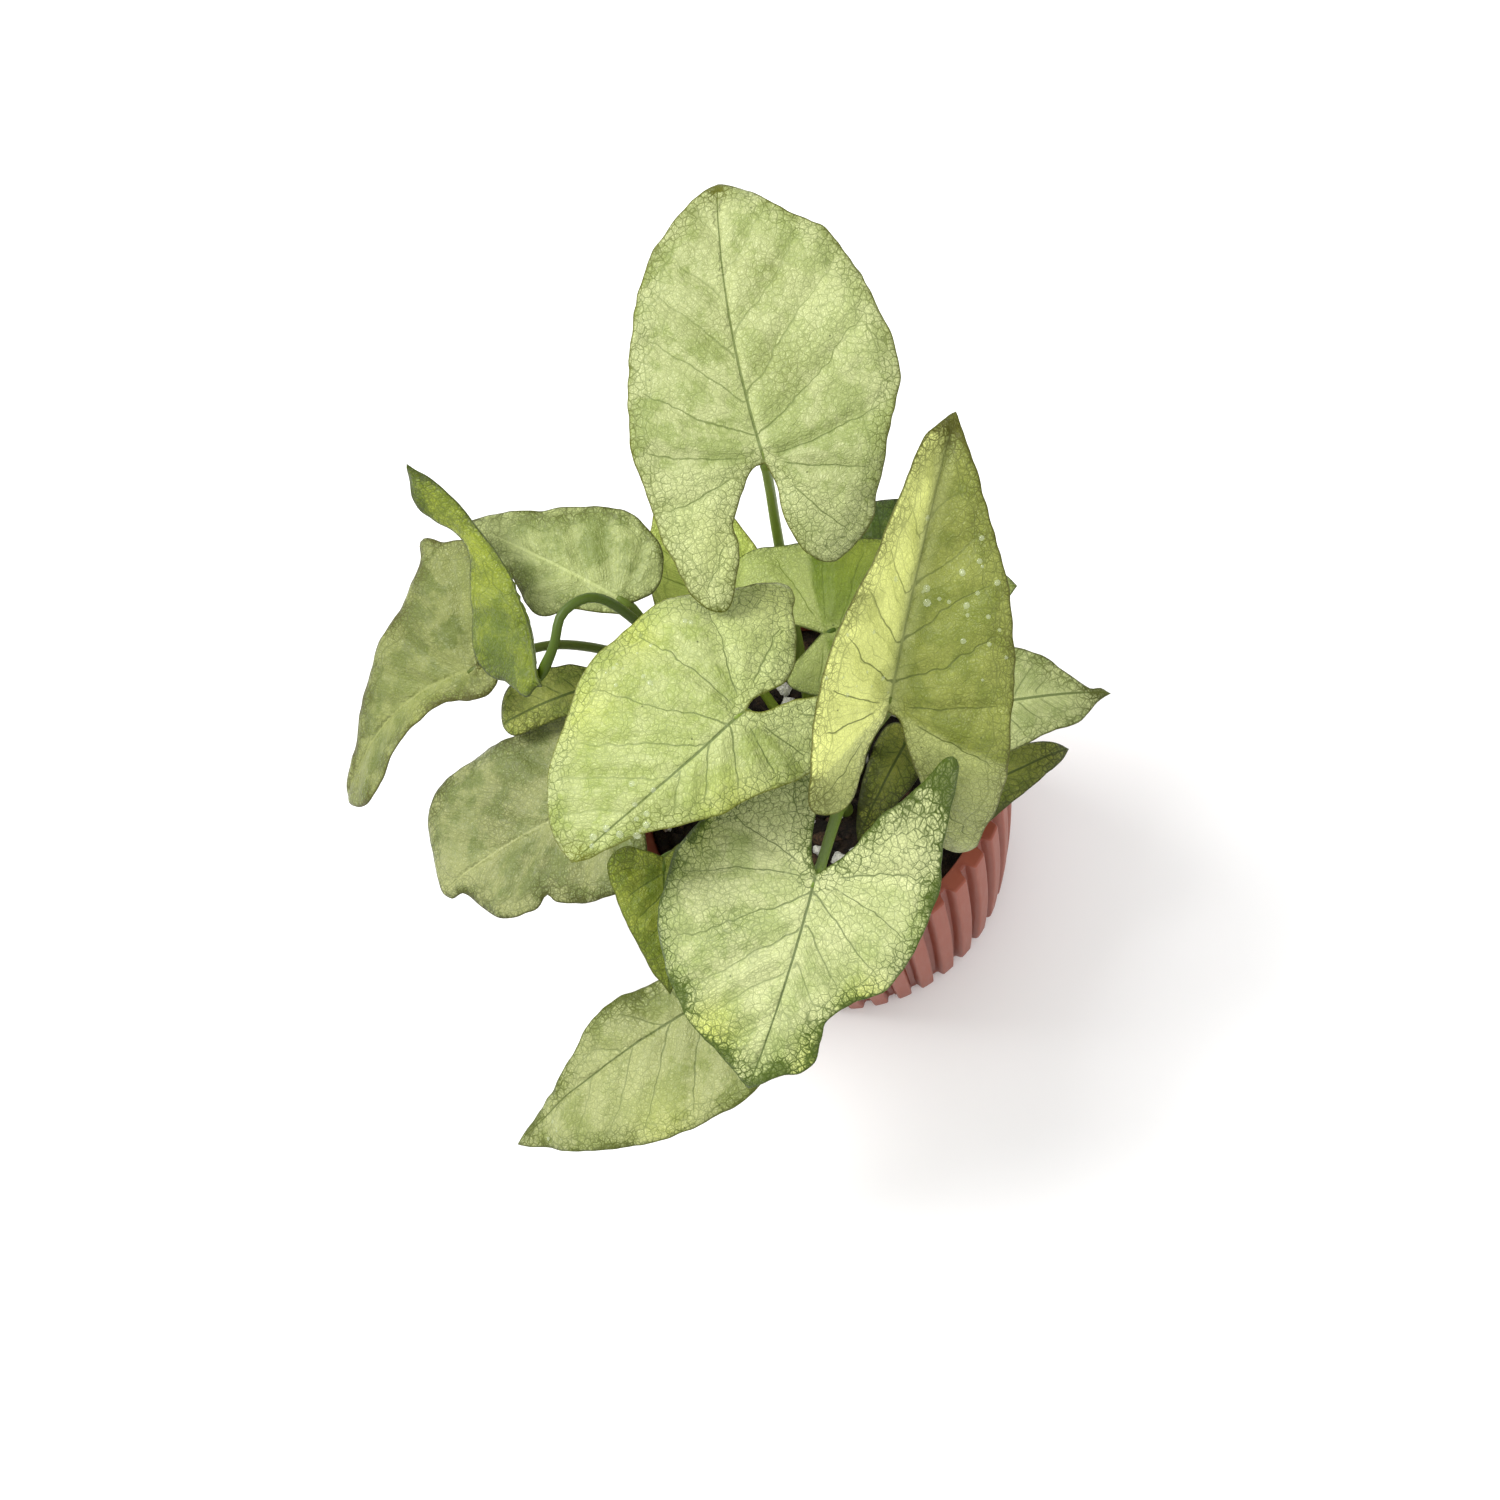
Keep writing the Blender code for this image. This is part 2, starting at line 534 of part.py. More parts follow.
def build_pot():
    rings = [
        rib_ring(POT_BASE_RADIUS - FOOT_SET_BACK, 0.0, 0.0),
        rib_ring(pot_radius(FOOT_HEIGHT / 3) - FOOT_SET_BACK * 0.35, RIB_DEPTH * 0.3, FOOT_HEIGHT / 3),
    ]
    for height in (FOOT_HEIGHT, POT_HEIGHT * 0.35, POT_HEIGHT * 0.68, POT_HEIGHT):
        rings.append(rib_ring(pot_radius(height), RIB_DEPTH, height))
    points = [p for ring in rings for p in ring]
    around = 4 * POT_RIBS
    faces = [tuple(range(around))[::-1]]
    for i in range(len(rings) - 1):
        for k in range(around):
            n = (k + 1) % around
            faces.append((i * around + k, i * around + n, (i + 1) * around + n, (i + 1) * around + k))
    rim = (len(rings) - 1) * around
    bore = len(points)
    for radius, height in ((POT_BORE_RADIUS, POT_HEIGHT), (POT_BORE_BASE_RADIUS, POT_FLOOR)):
        for rib in range(POT_RIBS):
            turn = 2 * math.pi * rib / POT_RIBS
            points.append((radius * math.cos(turn), radius * math.sin(turn), height))
    for rib in range(POT_RIBS):
        n = (rib + 1) % POT_RIBS
        crest = [rim + 4 * rib + k for k in range(4)]
        faces.append((bore + rib, *crest, bore + n))
        faces.append((bore + n, crest[3], rim + 4 * n))
        faces.append((bore + n, bore + POT_RIBS + n, bore + POT_RIBS + rib, bore + rib))
    faces.append(tuple(bore + POT_RIBS + rib for rib in range(POT_RIBS)))
    pot = node_object("pot", points, faces, "pot")
    for k in range(DRAIN_HOLES):
        turn = 2 * math.pi * (k + 0.5) / DRAIN_HOLES
        middle = Vector((math.cos(turn), math.sin(turn), 0.0)) * DRAIN_CIRCLE_RADIUS
        ends = [middle + Vector((0.0, 0.0, -2.0)), middle + Vector((0.0, 0.0, POT_FLOOR + 2.0))]
        drain = node_object("drain", *tube(ends, [DRAIN_RADIUS] * 2, DRAIN_SIDES), None)
        apply_boolean(pot, drain, "DIFFERENCE")
    pot.data.shade_smooth()
    pot.data.set_sharp_from_angle(angle=math.radians(35))
    return pot


def bore_radius(height):
    share = (height - POT_FLOOR) / (POT_HEIGHT - POT_FLOOR)
    return POT_BORE_BASE_RADIUS + (POT_BORE_RADIUS - POT_BORE_BASE_RADIUS) * share


def soil_height(x, y):
    """The potting mix lies in low lumps and a little higher in the middle."""
    lumps = math.sin(0.31 * x + 1.3) * math.cos(0.27 * y - 0.6) + 0.6 * math.sin(0.53 * y + 0.41 * x)
    return SOIL_TOP + SOIL_LUMP * lumps - 0.0012 * (x * x + y * y)


def build_soil():
    """One plug of potting mix with a lumpy top and a plain hole for each stalk."""
    floor = POT_FLOOR + GAP
    edge_top = SOIL_TOP - 1.2
    slack = GAP / math.cos(math.pi / POT_RIBS) + 0.12
    points = [(0.0, 0.0, soil_height(0.0, 0.0))]
    rings = []
    for radius in (*SOIL_RINGS[1:], None):
        start = len(points)
        for k in range(SOIL_SIDES):
            turn = 2 * math.pi * k / SOIL_SIDES
            r = bore_radius(edge_top) - slack if radius is None else radius
            x, y = r * math.cos(turn), r * math.sin(turn)
            points.append((x, y, edge_top if radius is None else soil_height(x, y)))
        rings.append(start)
    base = len(points)
    for k in range(SOIL_SIDES):
        turn = 2 * math.pi * k / SOIL_SIDES
        r = bore_radius(floor) - slack
        points.append((r * math.cos(turn), r * math.sin(turn), floor))
    rings.append(base)
    faces = []
    for k in range(SOIL_SIDES):
        n = (k + 1) % SOIL_SIDES
        faces.append((0, rings[0] + k, rings[0] + n))
        for a, b in zip(rings, rings[1:]):
            faces.append((a + k, b + k, b + n))
            faces.append((a + k, b + n, a + n))
    faces.append(tuple(base + k for k in range(SOIL_SIDES))[::-1])
    soil = node_object("soil", points, faces, "soil")
    for leaf in LEAVES:
        _, lean, root = stalk_path(leaf)
        sides = STALK_SIDES + 2
        radius = (leaf["radius"] + GAP) / math.cos(math.pi / sides)
        ends = [root - lean * (STALK_DEPTH + GAP), root + lean * STALK_STRAIGHT]
        hole = node_object("hole", *tube(ends, [radius] * 2, sides), None)
        apply_boolean(soil, hole, "DIFFERENCE")
    soil.data.shade_smooth()
    soil.data.set_sharp_from_angle(angle=math.radians(40))
    return soil


def main():
    clear_scene()
    build_pot()
    build_soil()
    for leaf in LEAVES:
        build_leaf(leaf)


main()
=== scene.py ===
"""Looks of an arrowhead plant in its small fluted pot: leaves with their veins, potting mix with
perlite, the pot, dew, and a pale stage with soft light.

Sizes in the leaf table are millimetres and degrees, as in the part's own source.
"""

import json
import math
import random

import bmesh
import bpy
import numpy as np
from mathutils import Matrix, Vector, noise
from mathutils.bvhtree import BVHTree
from mathutils.geometry import delaunay_2d_cdt

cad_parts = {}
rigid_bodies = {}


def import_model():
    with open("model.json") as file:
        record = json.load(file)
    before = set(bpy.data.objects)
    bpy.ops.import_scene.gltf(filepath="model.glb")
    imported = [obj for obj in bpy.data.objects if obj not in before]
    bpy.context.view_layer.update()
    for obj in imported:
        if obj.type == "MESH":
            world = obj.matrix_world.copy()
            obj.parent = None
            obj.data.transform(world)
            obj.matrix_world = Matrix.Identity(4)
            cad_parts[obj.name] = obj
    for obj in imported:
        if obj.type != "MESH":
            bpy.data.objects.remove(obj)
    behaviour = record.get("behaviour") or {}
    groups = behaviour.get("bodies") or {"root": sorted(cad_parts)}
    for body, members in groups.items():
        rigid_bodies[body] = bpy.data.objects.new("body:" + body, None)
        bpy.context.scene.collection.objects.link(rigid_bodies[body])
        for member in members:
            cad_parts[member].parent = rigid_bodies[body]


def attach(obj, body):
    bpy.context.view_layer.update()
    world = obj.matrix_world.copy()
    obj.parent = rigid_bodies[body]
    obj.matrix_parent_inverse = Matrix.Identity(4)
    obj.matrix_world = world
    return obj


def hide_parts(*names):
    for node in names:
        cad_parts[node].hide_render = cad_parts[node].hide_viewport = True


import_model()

bl_info = {
    "name": "Arrowhead Plant",
    "version": (1, 0, 0),
    "blender": (4, 5, 0),
    "location": "3D View > Sidebar > Arrowhead",
    "description": "Dresses an arrowhead plant and its fluted pot and sets its stage",
    "category": "Object",
}

MM = 0.001
CURVE_STEPS = 10

# How a flat blade is bent: the end of its notch, the width of its crease, how far out a cup and a
# lobe are measured, the share of its length that the tip droops over and by how much, and how many
# waves its margin has, with the shift of the right half's waves.
NOTCH = -0.9
CREASE_WIDTH = 0.9
CUP_REACH = 22.0
LOBE_REACH = 20.0
TIP_REACH = 0.16
TIP_DROOP = 0.6
WAVES = 2.2
WAVE_SHIFT = 0.37

# How a stalk runs: its depth in the potting mix, its straight part above it, its radii and ends.
SOIL_TOP = 48.0
STALK_DEPTH = 9.0
STALK_STRAIGHT = 4.0
STALK_TOP_RADIUS = 0.85
STALK_NECK_RADIUS = 0.55
STALK_REACH_INTO_BLADE = 1.6
STALK_SIDES = 14
NECK_LENGTH = 2.2

# Its swellings at the foot and below the blade: height, distance from that end, width.
SHEATH = (0.28, 10.0, 6.0)
COLLAR = (0.16, 4.0, 2.0)

# The triangles of a fine blade: how its edge and its rows are spaced against its points, and the
# part of the flat plane that holds every blade.
EDGE_SPACING = 0.8
ROW_SPACING = 0.87
PLANE_BACK, PLANE_AHEAD, PLANE_HALF = 30, 62, 32

# Side veins: how many leave the left and the right half of the midrib, how they bow, the slope at
# which the fan behind the stalk starts, the degrees between two veins of the fan, and the step in
# which their spread is measured.
VEINS_AHEAD = (5.9, 5.3)
VEIN_BOW = 0.005
FAN_SLOPE = 0.14
FAN_STEP = 29.0
VEIN_PROBE = 0.15

# The midrib: a groove above and a rib below, each as depth and width.
GROOVE_DEPTH, GROOVE_WIDTH = 0.28, 0.6
RIB_DEPTH, RIB_WIDTH = 0.55, 0.75

# Drops of water: how far they scatter and how their sizes vary within a group, and of each its
# height against its radius, how deep it sits, and its rings and sides.
DROP_SCATTER = 0.55
DROP_SIZES = (0.45, 1.25)
DROP_RISE = 0.42
DROP_SUNK = 0.04
DROP_RINGS = 4
DROP_SIDES = 12

# The pot: the height of its floor, its drain holes and how far they are from the middle, and of each
# rib the points round it and the shares of it that are full crest and full groove.
POT_FLOOR = 2.6
DRAIN_RADIUS = 2.6
DRAIN_REACH = 16.0
FLUTE_POINTS = 18
FLUTE_CREST, FLUTE_GROOVE = 0.50, 0.24

# The height of the potting mix's lumps.
SOIL_LUMP = 0.7

# One entry for each leaf. base is the point where the stalk meets the blade. heading is the
# direction of the midrib seen from above, pitch its rise, roll the lift of its left half.
# fold and lobe hold a left and a right value: how far each half is turned up about the midrib,
# and how far the end of each lobe is lifted. The outlines run from the tip along the margin,
# round the lobe and back to the notch, as (along the midrib, out from it). via holds the points
# that the stalk passes on its way from the potting mix, and root where it leaves the mix.
LEAVES = [
    {
        "name": "leaf_back_tall",
        "base": (2.0, 28.8, 121.0), "heading": 99, "pitch": 14, "roll": 0, "length": 49.0,
        "arch": 24, "sway": 1.5, "fold": (7, 4), "cup": (-10, -8), "wave": 0.9, "lobe": (1.0, -2.0),
        "left": [(45.5, 4.5), (42, 9), (37, 13), (25, 17.5), (13, 20.5), (6, 21), (0, 20.5), (-9, 19),
                 (-18, 16.5), (-23, 12.5), (-22, 9.5), (-14, 6.8), (-9, 6.6), (-2, 2.6)],
        "right": [(47, 4), (43, 8), (38, 13.5), (35, 17), (25, 21.5), (11, 24.5), (5, 23), (0, 21),
                  (-12, 16), (-17, 12), (-19, 7.5), (-16.5, 3.5), (-11, 1.6), (-5, 1.0)],
        "root": (-1, 15), "via": [(-1.8, 27, 72), (-1.6, 33, 88), (-0.2, 32.5, 102)],
        "radius": 1.15,
    },
    {
        "name": "leaf_right_folded",
        "base": (21.9, -12.2, 112.0), "heading": 73, "pitch": 26, "roll": 0, "length": 47.5,
        "arch": 14, "sway": 0.0, "fold": (60, 0), "cup": (-12, -14), "wave": 0.7, "lobe": (0.0, -7.4),
        "left": [(43, 4.5), (38, 6.5), (31, 8), (21, 10.5), (10, 14), (1, 15), (-8, 14.5), (-14, 14),
                 (-17, 11), (-16, 6), (-11, 3), (-5, 1.4)],
        "right": [(43, 3), (39, 5.5), (33, 9), (26, 13), (15, 17), (0.5, 19.7), (-9, 20), (-19, 17.7),
                  (-25.6, 15), (-28.6, 12.3), (-26.5, 10), (-21, 9.6), (-13.4, 7.4), (-7.4, 4.5),
                  (-2, 2.3)],
        "root": (8, 2), "via": [(14, -2, 75)], "radius": 1.15,
    },
    {
        "name": "leaf_centre",
        "base": (-2.6, -10.8, 108.0), "heading": -143, "pitch": -12, "roll": 0, "length": 38.2,
        "arch": 26, "sway": 1.2, "fold": (-16, 8), "cup": (-14, -10), "wave": 0.9, "lobe": (-1.0, -3.0),
        "left": [(35, 1.8), (31, 3.2), (26, 5), (21, 7.5), (16, 10), (6, 12.5), (-1, 14), (-7, 13.5),
                 (-12, 10), (-13.5, 6), (-10, 3.6), (-7, 2.6), (-3, 1.8)],
        "right": [(37.8, 4), (36.5, 8), (33, 12), (29, 15.5), (18, 22), (7, 25), (0, 24.6),
                  (-9, 21.2), (-14.5, 18.6), (-20, 16.4), (-20.4, 14.2), (-18.2, 11), (-15.6, 7),
                  (-12.2, 2.8), (-9.4, 0.8), (-6, 0.6), (-3, 0.9)],
        "root": (-1, -1.5), "via": [(-1, -6, 76)], "radius": 1.15,
    },
    {
        "name": "leaf_front",
        "base": (7.2, -33.5, 90.0), "heading": -111, "pitch": -20, "roll": 0, "length": 37.0,
        "arch": 20, "sway": 1.0, "fold": (3, 4), "cup": (-8, -10), "wave": 1.0, "lobe": (19.5, -1.5),
        "left": [(35, 2.4), (33, 4.5), (31, 8), (28.5, 10), (25, 9.6), (21, 9.8), (17, 13), (13, 17.5),
                 (5, 20), (-4, 20.3), (-11.5, 19.4), (-17, 20), (-20, 19.8), (-20.4, 18), (-18.6, 15.6),
                 (-14.7, 11.7), (-11, 7.4), (-5, 3.6)],
        "right": [(34, 4.5), (30, 12), (24, 19), (16, 23.4), (6, 25), (0, 23.4), (-10, 18.5),
                  (-19.5, 11), (-17, 5.5), (-10, 3.8), (-4, 2.2)],
        "root": (6, -6), "via": [(8.0, -14, 70)], "radius": 1.35,
    },
    {
        "name": "leaf_front_low",
        "base": (-13.6, -46.6, 66.0), "heading": -150.5, "pitch": -22, "roll": 0, "length": 50.0,
        "arch": 24, "sway": -1.0, "fold": (4, 8), "cup": (-10, -6), "wave": 0.8, "lobe": (-1.0, -1.0),
        "left": [(46, 3), (38, 8.5), (27, 14.5), (18, 17), (7, 19), (-1, 17.5), (-8, 12.5), (-7.5, 6),
                 (-4, 2.6)],
        "right": [(45, 1.4), (40, 2.8), (35, 4), (30, 6), (25, 8.2), (20, 9.6), (14, 9.4), (7, 8),
                  (0, 7), (-5, 5), (-4.5, 2.6)],
        "root": (-4, -12), "via": [(-8, -29, 67)], "radius": 1.1,
    },
    {
        "name": "leaf_middle",
        "base": (7.6, 13.3, 86.0), "heading": 12, "pitch": 2, "roll": 0, "length": 34.5,
        "arch": 18, "sway": 0.0, "fold": (9, -4), "cup": (-8, -12), "wave": 0.8, "lobe": (-1.5, -2.0),
        "left": [(30, 5), (23, 10), (13, 14), (2, 17), (-8, 19.3), (-14, 18.6), (-18, 14), (-12, 8),
                 (-5, 2.8)],
        "right": [(31, 3), (22, 8), (11, 12), (3, 12.5), (-3, 11), (-9, 7.5), (-8, 3.8), (-4, 1.8)],
        "root": (5, 11), "via": [(6.5, 12.5, 68)], "radius": 1.0,
    },
    {
        "name": "leaf_left_low",
        "base": (-32.1, -12.2, 76.0), "heading": -158, "pitch": -18, "roll": 0, "length": 39.2,
        "arch": 22, "sway": -1.0, "fold": (2, 6), "cup": (-10, -12), "wave": 1.2, "lobe": (-2.0, 1.5),
        "left": [(37.5, 2.2), (36, 2.4), (34, 3), (31, 8), (27, 11.4), (21, 13), (18, 11.6),
                 (16.5, 14), (9, 17), (3, 17), (-2, 13), (-3.5, 5)],
        "right": [(38.5, 8), (36, 14.5), (31, 19), (22, 20.5), (13, 19), (7, 19.5), (1, 18.5),
                  (-3, 12), (-2.5, 5)],
        "root": (-13, -5), "via": [(-22, -9, 68)], "radius": 1.1,
    },
    {
        "name": "leaf_small_front",
        "base": (-21.0, -26.5, 80.0), "heading": -90, "pitch": -24, "roll": -6, "length": 23.5,
        "arch": 16, "sway": 0.0, "fold": (20, 10), "cup": (-6, -6), "wave": 0.5, "lobe": (0.0, 0.5),
        "left": [(16, 3.5), (8, 6), (1, 6.5), (-3, 4)],
        "right": [(19, 2.6), (12, 6), (6, 8.5), (0, 10), (-2.5, 7), (-2, 3)],
        "root": (-10, -11), "via": [(-15, -19, 70)], "radius": 1.0,
    },
    {
        "name": "leaf_far_left",
        "base": (-56.6, 9.3, 86.0), "heading": -155, "pitch": -36, "roll": 0, "length": 44.0,
        "arch": 26, "sway": -4.0, "fold": (8, 14), "cup": (-14, -10), "wave": 1.0, "lobe": (0.0, 1.0),
        "left": [(42, 2.4), (38, 5.2), (33, 5.4), (25, 3.2), (17, 1.8), (8, 2.6), (0, 6.5), (-4, 5.5),
                 (-3, 2)],
        "right": [(41.5, 2.2), (35, 5.2), (29, 8.4), (24, 11.6), (17, 15.6), (6, 20), (0, 22),
                  (-2.5, 26), (-6, 23.4), (-11, 21), (-13, 14), (-7, 5)],
        "root": (-14, 12), "via": [(-26, 15, 70), (-42, 15.5, 81)], "radius": 1.05,
    },
    {
        "name": "leaf_left_narrow",
        "base": (-40.7, -0.4, 100.0), "heading": 121, "pitch": 16, "roll": 0, "length": 45.4,
        "arch": -14, "sway": -5.0, "fold": (-38, 76), "cup": (0, 10), "wave": 0.8, "lobe": (0.0, 1.0),
        "left": [(41.5, 2.6), (38.5, 3.4), (35, 2.2), (31, 0), (26.5, -0.4), (22.5, 2.8), (17.2, 7.4),
                 (12.4, 9.6), (7.4, 8.8), (3.4, 5.4), (-1, 2.8)],
        "right": [(41.5, 1.8), (37, 3.4), (31, 4.8), (25, 5.8), (18, 6), (10, 5.4), (4, 4.8),
                  (-1.5, 2.4)],
        "root": (-9, 4), "via": [(-17.5, 9.6, 74), (-24.5, 12.4, 96), (-29.4, 12.6, 105.5),
                                 (-34.4, 9.2, 107), (-36.4, 4.0, 104.5)],
        "radius": 0.95,
    },
    {
        "name": "leaf_back_left",
        "base": (-26.9, 16.8, 95.0), "heading": 151, "pitch": 0, "roll": 0, "length": 36.0,
        "arch": 22, "sway": 0.0, "fold": (-8, 8), "cup": (-10, -10), "wave": 0.8, "lobe": (-2.0, -1.0),
        "left": [(32, 1.6), (22, 5), (15, 9), (10.5, 8.6), (7, 5.5), (2, 3.4), (-2, 1.6)],
        "right": [(30, 4), (22, 8), (15, 12), (10, 14), (5, 14), (0, 12), (-3, 8), (-3.5, 3.5)],
        "root": (-10, 9), "via": [(-20, 13.5, 72)], "radius": 1.0,
    },
    {
        "name": "leaf_back_olive",
        "base": (-15.9, 23.2, 79.0), "heading": 96, "pitch": 16, "roll": 0, "length": 25.0,
        "arch": 18, "sway": 0.0, "fold": (14, 8), "cup": (-8, -8), "wave": 0.6, "lobe": (0.0, 0.0),
        "left": [(21, 5.5), (14, 8.4), (6, 9.6), (-2, 9), (-6, 6), (-4, 2)],
        "right": [(20, 4), (14, 8), (8, 11), (0, 10), (-5, 7), (-4, 3)],
        "root": (-5, 10.5), "via": [(-12, 18, 68)], "radius": 0.95,
    },
    {
        "name": "leaf_back_dark",
        "base": (24.0, 22.5, 84.0), "heading": 140, "pitch": 6, "roll": 0, "length": 20.0,
        "arch": 20, "sway": 0.0, "fold": (14, 10), "cup": (-6, -8), "wave": 0.6, "lobe": (0.0, 0.0),
        "left": [(16, 2.5), (9, 6), (1, 8), (-5, 7), (-4, 3)],
        "right": [(18, 4), (15, 8), (9, 11), (1, 10), (-5, 7), (-4, 3)],
        "root": (12, 14), "via": [(17, 19, 66)], "radius": 0.95,
    },
    {
        "name": "leaf_right",
        "base": (35.0, -0.9, 84.0), "heading": 8, "pitch": -8, "roll": 0, "length": 22.5,
        "arch": 22, "sway": 0.0, "fold": (8, -10), "cup": (-8, -10), "wave": 0.6, "lobe": (-1.0, -1.0),
        "left": [(20.5, 0.8), (18, 1.0), (14, 4.2), (12, 6.8), (9, 8.5), (3, 10), (-4, 8), (-5, 3.2)],
        "right": [(20, 1.4), (16, 5), (10, 6.6), (4, 8.3), (-2, 9), (-5.5, 6.5), (-4.5, 2.8)],
        "root": (16, 5), "via": [(24, 3, 68)], "radius": 1.0,
    },
    {
        "name": "leaf_right_low",
        "base": (28.5, -12.2, 68.0), "heading": 27, "pitch": -6, "roll": 0, "length": 23.0,
        "arch": 18, "sway": 0.0, "fold": (8, -8), "cup": (-8, -8), "wave": 0.6, "lobe": (-0.5, -0.5),
        "left": [(20, 2), (16, 4), (12, 5.5), (6, 7), (0, 6.5), (-4, 4.5), (-3.5, 2)],
        "right": [(20, 2), (15, 3.6), (9, 5), (3, 6), (-3, 5.5), (-5, 3.5), (-3.5, 1.6)],
        "root": (14, -6.5), "via": [(20.5, -9.5, 59)], "radius": 0.95,
    },
    {
        "name": "leaf_inner_low",
        "base": (19.0, 0.6, 64.0), "heading": -118, "pitch": -12, "roll": 0, "length": 20.0,
        "arch": 16, "sway": 0.0, "fold": (10, 8), "cup": (-6, -6), "wave": 0.4, "lobe": (0.0, 0.0),
        "left": [(16, 2.4), (9, 4.5), (3, 5.5), (-2, 4.5), (-3, 2)],
        "right": [(15, 2.2), (8, 4), (2, 5), (-2, 4.2), (-3, 2)],
        "root": (15.5, 0.5), "via": [(18, 1.5, 57)], "radius": 0.9,
    },
    {
        "name": "leaf_small_left",
        "base": (-36.8, 6.2, 82.0), "heading": -164, "pitch": -14, "roll": 0, "length": 18.0,
        "arch": 26, "sway": 0.0, "fold": (-20, 16), "cup": (-12, 6), "wave": 0.6, "lobe": (-1.0, 0.5),
        "left": [(16, 3), (11, 3.4), (5, 3.8), (0, 3.6), (-3, 1.8)],
        "right": [(16, 4), (12, 6), (6, 6), (0, 4.6), (-3, 2)],
        "root": (-15.5, 5), "via": [(-24, 6, 66)], "radius": 0.95,
    },
]

